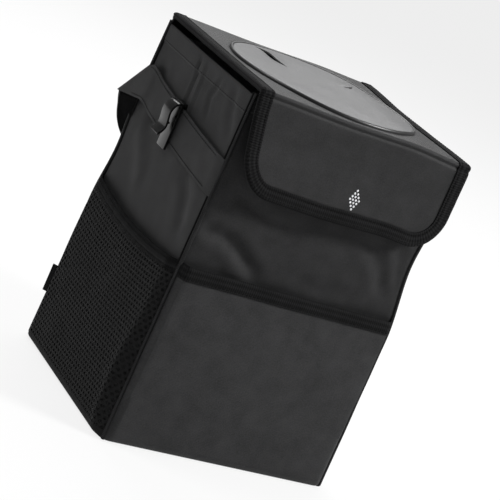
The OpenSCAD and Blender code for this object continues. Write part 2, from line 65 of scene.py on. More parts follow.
# Places that the solids give
BODY_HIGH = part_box("front_panel")[1]
LID_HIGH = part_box("lid_cloth")[1]
FLAP_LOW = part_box("flap_cloth")[0]
POCKET_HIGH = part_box("front_pocket")[1]
MESH_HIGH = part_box("left_mesh_pocket")[1]
HINGE_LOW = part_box("lid_hinge_tape")[0]
RING_LOW, RING_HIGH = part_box("opening_ring")
DISC_LOW, DISC_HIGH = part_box("opening_disc")
GRIP_LOW, GRIP_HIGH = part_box("flap_grip_strip")
BUCKLE_LOW, BUCKLE_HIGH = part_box("buckle_socket")
STRAP_LOW, STRAP_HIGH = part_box("left_strap")
TAB_LOW, TAB_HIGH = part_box("seam_tab")
HALF_W = BODY_HIGH.x
HALF_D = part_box("back_panel")[1].y
LID_TOP = LID_HIGH.z
LID_HALF_W = LID_HIGH.x
LID_BACK = LID_HIGH.y
FLAP_FACE = -FLAP_LOW.y
FLAP_HALF_W = -FLAP_LOW.x
FLAP_BOTTOM = FLAP_LOW.z
RING_CENTRE = (RING_LOW + RING_HIGH) / 2
RING_R = (RING_HIGH.x - RING_LOW.x) / 2

# Heights of the rims. The front one is a little lower, so that the lid's lining clears it, and the side ones
# leave the gap that shows under the lid.
RIM_Z = BODY_HIGH.z
FRONT_RIM_Z = RIM_Z - 2 * MM
SIDE_RIM_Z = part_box("left_panel")[1].z - 1.1 * MM

# How far the strap lies off the side panels, where it folds, and where the outer side of its loop hangs
STRAP_OFF = 1.8 * MM
FOLD_X = -STRAP_LOW.x - 0.65 * MM
FOLD_Z = STRAP_HIGH.z - 14 * MM
LOOP_X = FOLD_X - 1.25 * MM

# How far inside the walls the liner hangs, the radius of its corners, and the heights of its floor and top
LINER_IN = 5.4 * MM
LINER_CORNER = 7 * MM
LINER_FLOOR = 4.4 * MM
LINER_TOP = SIDE_RIM_Z - 5 * MM

# Radius of the opening that is cut through the lid, under the ring
HOLE_R = RING_R - 2.4 * MM

# Radius of the roll at the lid's back edge
BACK_ROLL = 0.8 * MM

# Depth of the crease just under the fold between lid and flap, and how far the flap's left corner is drawn in
CREASE_DEPTH = 0.9 * MM
FLAP_DRAW = 5.5 * MM

# Length, width and height of a stitch
STITCH = (2.4 * MM, 0.75 * MM, 0.45 * MM)

# Height at which the right wall and the back wall are drawn in most, and how far up and down that reaches
SIDE_WAIST = (184 * MM, 60 * MM)
BACK_WAIST = (162 * MM, 44 * MM)

# Slack of the cloth, as waves: length along the sheet, length up it, shift of the seed, and depth
WALL_SLACK = ((46 * MM, 60 * MM, 0, 1.1 * MM), (19 * MM, 24 * MM, 5, 0.35 * MM))
POCKET_SLACK = ((50 * MM, 70 * MM, 8.5, 0.9 * MM), (21 * MM, 30 * MM, 2.5, 0.25 * MM))
NET_SLACK = ((45 * MM, 50 * MM, 0, 1.3 * MM),)
LID_SLACK = ((50 * MM, 50 * MM, 3, 0.35 * MM),)
FLAP_SLACK = ((50 * MM, 40 * MM, 9, 0.5 * MM),)
WALL_SEEDS = {"front": 3.1, "right": 17.7, "back": 29.3, "left": 41.9}
NET_SEEDS = {"left": 61.0, "right": 73.0}

# Place, along the wall from its front seam, and half width of the fold that stands in a net near the front
NET_FOLD = (13 * MM, 5.5 * MM)

# Each wall, as seen from outside: the direction to its right, and its outward direction
WALLS = {
    "front": (Vector((1, 0, 0)), Vector((0, -1, 0))),
    "right": (Vector((0, 1, 0)), Vector((1, 0, 0))),
    "back": (Vector((-1, 0, 0)), Vector((0, 1, 0))),
    "left": (Vector((0, -1, 0)), Vector((-1, 0, 0))),
}

# Soft furrows on each wall, in millimetres: points (along the wall, height), width and depth
CREASES = {
    "front": [
        (
            ((-92, 167), (-79, 166), (-66, 164.5), (-54.5, 159), (-46, 153), (-37, 147.5), (-29, 139)),
            5.4, 3.5,
        ),
        (((40, 192), (56, 186), (69, 172), (76, 150)), 7.0, 2.2),
        (((72, 198), (80, 184), (87, 160)), 5.0, 1.5),
        (((-72, 196), (-40, 184), (-8, 182)), 5.5, 1.6),
        (((-4, 149), (24, 147), (54, 151)), 6.0, 1.4),
        (((-20, 172), (16, 176), (44, 166)), 8.0, -0.8),
    ],
    "left": [
        (((-12, 262), (-8, 240), (-7, 214)), 1.8, 1.3),
        (((-3, 262), (0, 240), (2, 214)), 2.2, -0.9),
        (((30, 258), (22, 240), (30, 224)), 3.0, 0.9),
        (((-62, 236), (-50, 212), (-40, 186)), 6.0, 1.2),
        (((30, 192), (50, 176), (62, 146)), 7.0, 1.3),
        (((-58, 190), (-30, 162), (-20, 146)), 8.0, -0.9),
        (((50, 262), (60, 240), (72, 226)), 5.0, 0.9),
    ],
    "right": [
        (((8, 262), (4, 240), (2, 214)), 2.0, 1.3),
        (((-44, 240), (-36, 212), (-30, 186)), 6.0, 1.2),
        (((40, 202), (54, 176), (62, 146)), 7.0, 1.2),
        (((-62, 180), (-40, 162), (-20, 150)), 8.0, -0.9),
    ],
    "back": [
        (((-70, 240), (-48, 222), (-30, 198)), 6.5, 1.1),
        (((20, 150), (44, 138), (74, 120)), 7.0, 1.2),
        (((-60, 90), (-38, 70), (-12, 40)), 7.5, 1.2),
        (((30, 70), (48, 52), (70, 24)), 7.0, -0.9),
    ],
}


def length(name, description, millimetres):
    """A size, given in millimetres, as a length property."""
    return FloatProperty(name=name, description=description, default=millimetres * MM, unit="LENGTH")


class BinSizes(bpy.types.PropertyGroup):
    """Sizes of the cloth and of what is sewn to it."""

    flare_x: length("Side flare", "How much wider each side is at the floor", 3.4)
    flare_y: length("Front flare", "How much deeper each end is at the floor", 5.5)
    lean_y: length("Top lean", "How far the front and back lean in at the rim", 1)
    tuck_r: length("Base edge radius", "Radius of the soft lower edges", 1.8)
    waist: length("Waist", "How far the sides are drawn in above the pockets", 4)
    corner_rise: length("Corner rise", "How much higher the lid lies at its front left corner", 2.8)
    seam_roll: length("Seam roll", "How far the cloth turns in at the upright seams", 1.3)
    cloth_t: length("Cloth", "Thickness of the coated cloth", 1.2)
    pocket_t: length("Pocket cloth", "Thickness of the front pocket's cloth", 0.96)
    board_t: length("Board", "Thickness of the boards", 1.4)
    lining_t: length("Lining", "Thickness of the lining", 0.6)
    tape_t: length("Tape", "Thickness of the binding tape", 0.6)
    tape_w: length("Tape width", "Width of the binding tape", 10)
    hem_h: length("Rim hem", "Depth of the hem at the rim", 14)
    piping_r: length("Piping", "Radius of the corded piping", 1.3)
    stitch_pitch: length("Stitch pitch", "Distance between stitches", 3.2)
    pocket_full: length("Pocket fullness", "How far the front pocket stands off its wall", 5.2)
    mesh_full: length("Mesh fullness", "How far a mesh pocket stands off its wall", 5.6)
    mesh_sag: length("Mouth sag", "Sag of a mesh pocket's mouth", 7)
    net_pitch: length("Net pitch", "Distance between the holes of the net", 4.2)
    net_web: length("Net web", "Width of the net's bars", 1.9)
    net_t: length("Net", "Thickness of the net", 0.5)
    elastic_w: length("Elastic", "Width of the elastic hem", 9)
    strap_w: length("Strap width", "Width of the strap", 28)
    strap_t: length("Strap thickness", "Thickness of the strap", 1.3)
    fold_r: length("Fold radius", "Radius of the soft fold between lid and flap", 2.4)
    lid_corner_r: length("Lid corners", "Radius of the lid's back corners", 2.5)
    flap_corner_r: length("Flap corners", "Radius of the flap's lower corners", 28)
    flap_lift: length("Flap lift", "How far the middle of the flap's lower edge stands off", 7)


def shade(name, description, value):
    """A grey of that linear value, very slightly cool, as a colour property."""
    return FloatVectorProperty(
        name=name, description=description, subtype="COLOR", size=3, default=(value, value, value * 1.03)
    )


class BinColours(bpy.types.PropertyGroup):
    """Colours of the bin's cloths and plastics."""

    cloth: shade("Cloth", "Coated woven cloth", 0.0160)
    pocket: shade("Pocket", "Cloth of the front pocket", 0.024)
    tape: shade("Tape", "Binding tape", 0.0084)
    net: shade("Net", "Mesh pockets", 0.0052)
    # Also the colour of the lining, and of the dark bead beside each piping and the dark sheet inside the
    # strap's fold, which are painted shade.
    thread: shade("Thread", "Sewing thread", 0.005)
    leather: shade("Disc", "Imitation leather", 0.060)
    plastic: shade("Plastic", "Clip and buckle", 0.006)
    film: shade("Liner", "Waterproof liner", 0.300)
    board: shade("Board", "Stiffening boards", 0.200)
    dots: shade("Dots", "Reflective dots", 0.800)


def sizes():
    """The sizes that the panel shows."""
    return bpy.context.scene.car_bin_sizes


def colours():
    """The colours that the panel shows."""
    return bpy.context.scene.car_bin_colours


# Small shared steps


def smooth(t):
    """Goes softly from 0 at t = 0 to 1 at t = 1."""
    t = min(max(t, 0.0), 1.0)
    return t * t * (3 - 2 * t)


def uneven(a, b, c):
    """Smooth unevenness from -1 to 1 at a place of three coordinates."""
    return noise.noise(Vector((a, b, c)))


def slack(s, z, waves, seed=0.0):
    """How far slack cloth stands out at s along a sheet and height z: the sum of its waves."""
    return sum(uneven(s / along, z / up, seed + shift) * depth for along, up, shift, depth in waves)


def spread(start, end, steps):
    """Evenly spaced values from start to end."""
    return [start + (end - start) * i / steps for i in range(steps + 1)]


def on_circle(radius, degrees):
    """Point of a circle round the origin, that many degrees round from the x axis."""
    turn = math.radians(degrees)
    return radius * Vector((math.cos(turn), math.sin(turn)))


def bezier(a, b, c, d, steps):
    """Points of a cubic curve from a to d, without the last one."""
    points = []
    for i in range(steps):
        t = i / steps
        k = 1 - t
        points.append(a * k**3 + b * 3 * k * k * t + c * 3 * k * t * t + d * t**3)
    return points


def activate(piece):
    """Selects that piece alone and makes it the active one."""
    bpy.ops.object.select_all(action="DESELECT")
    piece.select_set(True)
    bpy.context.view_layer.objects.active = piece


def add_modifier(piece, kind, **settings):
    """Adds a modifier with those settings and applies it."""
    activate(piece)
    modifier = piece.modifiers.new(kind.title(), kind)
    for name, value in settings.items():
        setattr(modifier, name, value)
    bpy.ops.object.modifier_apply(modifier=modifier.name)


def thicken(piece, thickness):
    """Gives a sheet its thickness, inwards from the face that was drawn."""
    add_modifier(piece, "SOLIDIFY", thickness=thickness, offset=-1, use_even_offset=False)


def join(name, parts):
    """Joins parts into one piece."""
    activate(parts[0])
    for part in parts:
        part.select_set(True)
    if len(parts) > 1:
        bpy.ops.object.join()
    piece = bpy.context.object
    piece.name = name
    return piece


@contextmanager
def editing(piece, choice="SELECT"):
    """Edit mode on that piece alone. The choice says what is selected first; None leaves it as it is."""
    activate(piece)
    bpy.ops.object.mode_set(mode="EDIT")
    if choice:
        bpy.ops.mesh.select_all(action=choice)
    yield
    bpy.ops.object.mode_set(mode="OBJECT")


def merge_doubles(piece, distance=0.01 * MM):
    """Merges vertices that lie on each other."""
    with editing(piece):
        bpy.ops.mesh.remove_doubles(threshold=distance)


def face_outwards(piece):
    """Turns all faces of a piece outwards."""
    with editing(piece):
        bpy.ops.mesh.normals_make_consistent(inside=False)


def grid_sheet(name, us, vs, place, flat):
    """A sheet with a corner at place(u, v) for each pair of us and vs, and UVs of flat(u, v) in metres."""
    columns = len(us) - 1
    rows = len(vs) - 1
    bpy.ops.object.select_all(action="DESELECT")
    bpy.ops.mesh.primitive_grid_add(x_subdivisions=columns, y_subdivisions=rows, size=1)
    piece = bpy.context.object
    piece.name = name
    mesh = piece.data
    found = [(us[round((v.co.x + 0.5) * columns)], vs[round((v.co.y + 0.5) * rows)]) for v in mesh.vertices]
    for vertex, (u, v) in zip(mesh.vertices, found):
        vertex.co = place(u, v)
    layer = mesh.uv_layers.active.data
    for loop in mesh.loops:
        layer[loop.index].uv = flat(*found[loop.vertex_index])
    mesh.update()
    return piece


def swept(name, count, section, place):
    """A closed band: section is a loop of points, and place(i, point) puts one of them at step i of count."""
    corners = len(section)
    around = [0.0]
    for a, b in zip(section, section[1:] + section[:1]):
        around.append(around[-1] + (Vector(b) - Vector(a)).length)
    along = [0.0]
    for i in range(1, count):
        along.append(along[-1] + (place(i, section[0]) - place(i - 1, section[0])).length)
    piece = grid_sheet(
        name,
        list(range(corners + 1)),
        list(range(count)),
        lambda u, v: place(v, section[u % corners]),
        lambda u, v: (along[v], around[u]),
    )
    merge_doubles(piece)
    with editing(piece):
        bpy.ops.mesh.fill_holes(sides=corners)
    face_outwards(piece)
    return piece


def finish_piece(piece, material, body, replaced=(), angle=40):
    """Gives a piece its material, smooth shading and body, and hides the CAD nodes that it replaces."""
    piece.data.materials.clear()
    piece.data.materials.append(material)
    activate(piece)
    bpy.ops.object.shade_smooth_by_angle(angle=math.radians(angle))
    if body:
        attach(piece, body)
    if replaced:
        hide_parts(*replaced)
    return piece


def spaced(spots, normals, pitch):
    """Points every pitch along a line of spots, with the directions that stand on the cloth there."""
    points = []
    ways = []
    travelled = 0.0
    due = pitch / 2
    for i, (a, b) in enumerate(zip(spots, spots[1:])):
        step = (b - a).length
        while step > 0 and travelled + step >= due:
            t = (due - travelled) / step
            points.append(a.lerp(b, t))
            ways.append(normals[i].lerp(normals[i + 1], t).normalized())
            due += pitch
        travelled += step
    return points, ways


def stitch_row(name, spots, normals):
    """Thread stitches along a line of spots: one stitch is shaped, then copied and turned to lie along it."""
    points, ways = spaced(spots, normals, sizes().stitch_pitch)
    bpy.ops.object.select_all(action="DESELECT")
    bpy.ops.mesh.primitive_uv_sphere_add(segments=6, ring_count=4, radius=0.5)
    stitch = bpy.context.object
    with editing(stitch):
        bpy.ops.transform.resize(value=STITCH)
    copies = []
    for i, (point, way) in enumerate(zip(points, ways)):
        along = points[min(i + 1, len(points) - 1)] - points[max(i - 1, 0)]
        along = (along - way * along.dot(way)).normalized()
        turn = Matrix((along, way.cross(along), way)).transposed().to_4x4()
        copy = stitch.copy()
        copy.data = stitch.data.copy()
        copy.data.transform(Matrix.Translation(point) @ turn)
        bpy.context.scene.collection.objects.link(copy)
        copies.append(copy)
    bpy.data.objects.remove(stitch)
    return join(name, copies)


# The body's walls


def bump(value, centre, reach):
    """1 at the centre, falling softly to 0 at reach on either side."""
    return smooth(1 - abs(value - centre) / reach)


def rise(x, y):
    """How much higher the rim and the lid lie at x, y than a level lid does."""
    # The lift grows towards the left edge and the front. The droop grows towards the right edge.
    left = smooth((-x - 5 * MM) / (85 * MM))
    right = smooth((x - 36 * MM) / (54 * MM))
    front = smooth((20 * MM - y) / (100 * MM))
    droop = 0.65 + 0.6 * smooth((74 * MM - y) / (56 * MM))
    return sizes().corner_rise * (left * (0.7 + 0.3 * front) - right * droop)


def settle(p):
    """Where a point of the body's cloth comes to lie: drawn in above the pockets, and moved with the rim."""
    right = smooth((p.x + 30 * MM) / (120 * MM))
    back = smooth((p.y + 20 * MM) / (100 * MM))
    dx = -1.55 * sizes().waist * bump(p.z, *SIDE_WAIST) * right * (1 - 0.5 * back)
    dy = -1.2 * sizes().waist * bump(p.z, *BACK_WAIST) * back * (1 - 0.5 * right)
    return p + Vector((dx, dy, rise(p.x, p.y) * smooth((p.z - 130 * MM) / (130 * MM))))


def rim(side):
    """Height of a wall's rim."""
    return {"front": FRONT_RIM_Z, "back": RIM_Z}.get(side, SIDE_RIM_Z)


def wall_half(side, z):
    """Half the width of a wall, and its distance from the middle, at height z."""
    low = 1 - z / RIM_Z
    r = sizes().tuck_r
    tuck = r - math.sqrt(r * r - (r - z) ** 2) if z < r else 0.0
    half_x = HALF_W + sizes().flare_x * low - tuck
    half_y = HALF_D - sizes().lean_y + sizes().flare_y * low - tuck
    return (half_x, half_y) if side in ("front", "back") else (half_y, half_x)


def crease_depth(side, s, z):
    """How far the wall's furrows press it in at s along it and height z."""
    total = 0.0
    here = Vector((s, z)) / MM
    for line, width, depth in CREASES[side]:
        lengths = [(Vector(b) - Vector(a)).length for a, b in zip(line, line[1:])]
        nearest = 1e9
        share = 0.0
        passed = 0.0
        for a, b, length in zip(line, line[1:], lengths):
            a = Vector(a)
            d = Vector(b) - a
            t = min(max((here - a).dot(d) / d.length_squared, 0.0), 1.0)
            gap = (here - a - d * t).length
            if gap < nearest:
                nearest = gap
                share = (passed + t * length) / sum(lengths)
            passed += length
        gap = nearest / width
        if gap > 3:
            continue
        ends = smooth(3.5 * share + 0.25) * smooth(3.5 * (1 - share) + 0.1)
        total += depth * MM * ends * (math.exp(-gap * gap) - 0.3 * math.exp(-((gap - 1.7) ** 2)))
    return total


def wall_relief(side, s, z):
    """Outward relief of a wall: slack cloth, furrows and the way it flattens towards its edges."""
    half, _ = wall_half(side, z)
    edge = smooth((half - abs(s)) / (7 * MM)) * smooth(z / (12 * MM))
    edge *= smooth((rim(side) - z) / (10 * MM) + 0.3)
    loose = slack(s, z, WALL_SLACK, WALL_SEEDS[side]) - crease_depth(side, s, z)
    return edge * loose - edge_roll(half, s)


def edge_roll(half, s):
    """How far a sheet turns in at its two upright seams."""
    return sizes().seam_roll * (1 - smooth((half - abs(s)) / (3.2 * MM)))


def off_wall(side, s, z, out):
    """Point at s along a wall, as seen from outside, and height z, out from the wall's plain shape."""
    right, outward = WALLS[side]
    return settle(right * s + outward * (wall_half(side, z)[1] + out) + Vector((0, 0, z)))


def wall_point(side, s, z, out=0.0):
    """Point of a wall with its relief, moved out by out."""
    return off_wall(side, s, z, wall_relief(side, s, z) + out)


def wall_heights(top):
    """Heights of a wall's rows, closer together over the soft lower edge."""
    r = sizes().tuck_r
    return [r * (1 - math.cos(math.radians(a))) for a in (18, 36, 54, 72)] + spread(r, top, 96)


def wall_sheet(name, side, thickness, top, low=0.0, out=0.0, inset=0.0):
    """A sheet that follows a wall between two heights, out from its face and inset from its seams."""
    def place(u, z):
        half, _ = wall_half(side, z)
        return wall_point(side, u * (half - inset), z, out)

    rows = [z for z in wall_heights(top) if z >= low]
    piece = grid_sheet(name, spread(-1, 1, 72), rows, place, lambda u, z: (u * HALF_W, z))
    thicken(piece, thickness)
    return piece


def rim_hem(name, side):
    """The folded hem round a wall's rim."""
    top = rim(side)
    low = top - sizes().hem_h
    step = 0.5 * MM

    def place(u, z):
        half, _ = wall_half(side, z)
        edge = smooth((z - low) / (1.5 * MM)) * smooth((top - z) / (0.8 * MM) + 0.5)
        return wall_point(side, u * (half - 0.2 * MM), z, 0.2 * MM + step * edge)

    rows = spread(low, low + 2 * MM, 4) + spread(low + 3 * MM, top, 9)
    piece = grid_sheet(name, spread(-1, 1, 60), rows, place, lambda u, z: (u * HALF_W, z))
    thicken(piece, 0.6 * MM)
    return piece


def wall_stitches(name, side, z, out):
    """A level row of stitches on a wall."""
    half = wall_half(side, z)[0] - 3 * MM
    spots = [wall_point(side, s, z, out) for s in spread(-half, half, 120)]
    return stitch_row(name, spots, [WALLS[side][1]] * len(spots))


class CARBIN_OT_walls(bpy.types.Operator):
    """Adds the cloth walls, the base and their hems."""

    bl_idname = "car_bin.walls"
    bl_label = "Cloth walls"

    def execute(self, context):
        cloth = cloth_material()
        thread = thread_and_painted_shadow_material()
        for side in WALLS:
            wall = wall_sheet(side + "_wall", side, sizes().cloth_t, rim(side))
            hem = rim_hem(side + "_rim_hem", side)
            piece = join(side + "_wall", [wall, hem])
            finish_piece(piece, cloth, "bin", [side + "_panel"])
            row = wall_stitches(side + "_rim_stitches", side, rim(side) - sizes().hem_h + 1.8 * MM, 0.65 * MM)
            finish_piece(row, thread, "bin")
        self.base(cloth)
        return {"FINISHED"}

    def base(self, cloth):
        """The base cloth, flat, with its edges under the walls."""
        half_x = wall_half("front", 0)[0] + 0.6 * MM
        half_y = wall_half("left", 0)[0] + 0.6 * MM
        piece = grid_sheet(
            "base_cloth",
            spread(-half_x, half_x, 40),
            spread(-half_y, half_y, 36),
            lambda x, y: Vector((x, y, 1.2 * MM)),
            lambda x, y: (x, y),
        )
        thicken(piece, sizes().cloth_t)
        finish_piece(piece, cloth, "bin", ["base_panel"])


def liner_ring(z):
    """Points round the liner at height z: rounded corners, and more points along its straight sides."""
    half_x = wall_half("front", max(z, sizes().tuck_r))[0] - LINER_IN
    half_y = wall_half("left", max(z, sizes().tuck_r))[0] - LINER_IN
    corners = []
    for k, (sx, sy) in enumerate([(1, -1), (1, 1), (-1, 1), (-1, -1)]):
        centre = Vector((sx * (half_x - LINER_CORNER), sy * (half_y - LINER_CORNER)))
        corners += [centre + on_circle(LINER_CORNER, a + 90 * (k - 1)) for a in range(0, 91, 15)]
    ring = []
    for a, b in zip(corners, corners[1:] + corners[:1]):
        count = 12 if (b - a).length > 50 * MM else 1
        ring += [a.lerp(b, i / count) for i in range(count)]
    return ring


class CARBIN_OT_stiffening(bpy.types.Operator):
    """Adds the boards inside the walls and the waterproof liner."""

    bl_idname = "car_bin.stiffening"
    bl_label = "Boards and liner"

    def execute(self, context):
        board = board_material()
        out = -sizes().cloth_t - 0.2 * MM
        for side in ("front", "back"):
            low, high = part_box(side + "_board")
            piece = wall_sheet(side + "_stiffener", side, sizes().board_t, high.z, low.z, out, 4 * MM)
            finish_piece(piece, board, "bin", [side + "_board"])
        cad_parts["base_board"].data.materials[0] = board
        self.liner()
        return {"FINISHED"}

    def liner(self):
        """The liner: a thin open-topped bag of film that follows the walls with small wrinkles."""
        rings = {z: liner_ring(z) for z in spread(LINER_FLOOR, LINER_TOP, 60)}
        columns = len(rings[LINER_FLOOR])

        def place(u, z):
            p = rings[z][u % columns]
            inward = 1 - 0.006 * (1 + uneven(p.x / 0.03, p.y / 0.03, z / 0.04))
            return settle(Vector((p.x * inward, p.y * inward, z)))

        bag = grid_sheet("liner", list(range(columns + 1)), list(rings), place, lambda u, z: (u * 7 * MM, z))
        merge_doubles(bag)
        with editing(bag, "DESELECT"):
            bpy.ops.mesh.select_mode(type="EDGE")
        for edge in bag.data.edges:
            edge.select = all(bag.data.vertices[i].co.z < LINER_FLOOR + 0.1 * MM for i in edge.vertices)
        with editing(bag, None):
            bpy.ops.mesh.edge_face_add()
        face_outwards(bag)
        thicken(bag, 0.4 * MM)
        finish_piece(bag, film_material(), "bin", ["liner"])


class CARBIN_OT_piping(bpy.types.Operator):
    """Adds the piping of the upright seams, a dark bead beside each that is painted shadow for the seam's
    groove, and the small tab in one seam.
    """

    bl_idname = "car_bin.piping"
    bl_label = "Seam piping"

    def execute(self, context):
        heights = wall_heights(FRONT_RIM_Z)
        bead = [on_circle(sizes().piping_r, a) for a in range(0, 360, 36)]
        for name, sx, sy in (
            ("front_left", -1, -1), ("front_right", 1, -1), ("back_left", -1, 1), ("back_right", 1, 1)
        ):
            def place(i, point, back=0.0, out=0.0):
                z = heights[i]
                sway = 0.25 * MM * uneven(sx * 3, sy * 5, z / 0.03)
                x = sx * (wall_half("front", z)[0] - 0.3 * MM + sway + out)
                y = sy * (wall_half("left", z)[0] - 0.3 * MM - back)
                return settle(Vector((x, y, z))) + Vector((*point, 0))

            piece = swept(name + "_seam", len(heights), bead, place)
            finish_piece(piece, piping_material(), "bin", [name + "_piping"])
            # A dark bead on the side wall just behind each piping: painted shadow for the groove where the
            # side panel turns into the seam.
            seam_shadow_bead = swept(
                name + "_seam_painted_shadow", len(heights), bead, lambda i, p: place(i, p, 2.6 * MM, 0.1 * MM)
            )
            finish_piece(seam_shadow_bead, thread_and_painted_shadow_material(), "bin")
        self.tab()
        return {"FINISHED"}

    def tab(self):
        """A loop of tape, folded double, sewn into the back left seam."""
        out = Vector((-1, 1, 0)).normalized()
        side = Vector((1, 1, 0)).normalized()
        z_mid = (TAB_LOW.z + TAB_HIGH.z) / 2
        root = Vector((-wall_half("front", z_mid)[0], wall_half("left", z_mid)[0], 0))
        reach = 4.6 * MM
        bend = 0.7 * MM
        straight = [0, 1.5 * MM, 3 * MM]
        path = [root + out * d + side * bend for d in straight]
        for a in (1.2, 0.6, 0, -0.6, -1.2):
            path.append(root + out * (reach - bend + bend * math.cos(a)) + side * bend * math.sin(a))
        path += [root + out * d - side * bend for d in reversed(straight)]
        piece = grid_sheet(
            "seam_loop",
            list(range(len(path))),
            spread(TAB_LOW.z, TAB_HIGH.z, 12),
            lambda u, z: path[u] + Vector((0, 0, z)),
            lambda u, z: (z, u * 1.5 * MM),
        )
        thicken(piece, 0.5 * MM)
        finish_piece(piece, tape_material(), "bin", ["seam_tab"])


# The front pocket and the mesh pockets


def pocket_stand(s, z, half, full, foot=0.45, slope=5 * MM):
    """How far a pocket stands off its wall. Foot is its share low down, and slope the reach of its sides."""
    sides = smooth((half - abs(s)) / slope)
    fullness = foot + (1 - foot) * smooth(z / (90 * MM))
    return full * sides * fullness * smooth(z / (6 * MM) + 0.7 * foot**2)


class CARBIN_OT_front_pocket(bpy.types.Operator):
    """Adds the front pocket and the tape over its mouth."""

    bl_idname = "car_bin.front_pocket"
    bl_label = "Front pocket"

    def execute(self, context):
        piece = grid_sheet(
            "front_pocket_cloth",
            spread(-1, 1, 90),
            wall_heights(POCKET_HIGH.z),
            lambda u, z: self.face(u, z, 0.0),
            lambda u, z: (u * HALF_W, z),
        )
        thicken(piece, sizes().pocket_t)
        finish_piece(piece, pocket_material(), "bin", ["front_pocket"])
        self.tape(POCKET_HIGH.z)
        return {"FINISHED"}

    def face(self, u, z, out):
        """Point of the pocket's outer face, u from -1 to 1 across it."""
        half = wall_half("front", z)[0] - 0.6 * MM
        s = u * half
        edge = smooth((half - abs(s)) / (14 * MM)) * smooth(z / (14 * MM))
        stand = pocket_stand(s, z, half, sizes().pocket_full) + sizes().cloth_t - edge_roll(half, s)
        return off_wall("front", s, z, stand + edge * slack(s, z, POCKET_SLACK) + out)

    def tape(self, top):
        """Tape folded over the mouth, with a row of stitches near its lower edge."""
        t = sizes().tape_t
        w = sizes().tape_w
        cloth = sizes().pocket_t
        section = [(w, t), (0.75 * w, 1.3 * t), (0.4 * w, 1.35 * t), (1 * MM, t), (0.1 * MM, 0.6 * t)]
        section += [(-t, -0.3 * cloth), (0, -cloth - 0.7 * t), (1 * MM, -cloth - t), (w, -cloth - t)]
        section += [(w, -cloth), (0.5 * MM, -cloth), (0.5 * MM, 0), (w, 0)]
        us = spread(-1, 1, 100)
        piece = swept(
            "front_pocket_tape", len(us), section, lambda i, p: self.face(us[i], top + 0.4 * MM - p[0], p[1])
        )
        finish_piece(piece, tape_material(), "bin", ["front_pocket_binding"])
        spots = [self.face(u, top - w + 2.2 * MM, 1.35 * t) for u in spread(-0.985, 0.985, 120)]
        row = stitch_row("front_pocket_stitches", spots, [Vector((0, -1, 0))] * len(spots))
        finish_piece(row, thread_and_painted_shadow_material(), "bin")


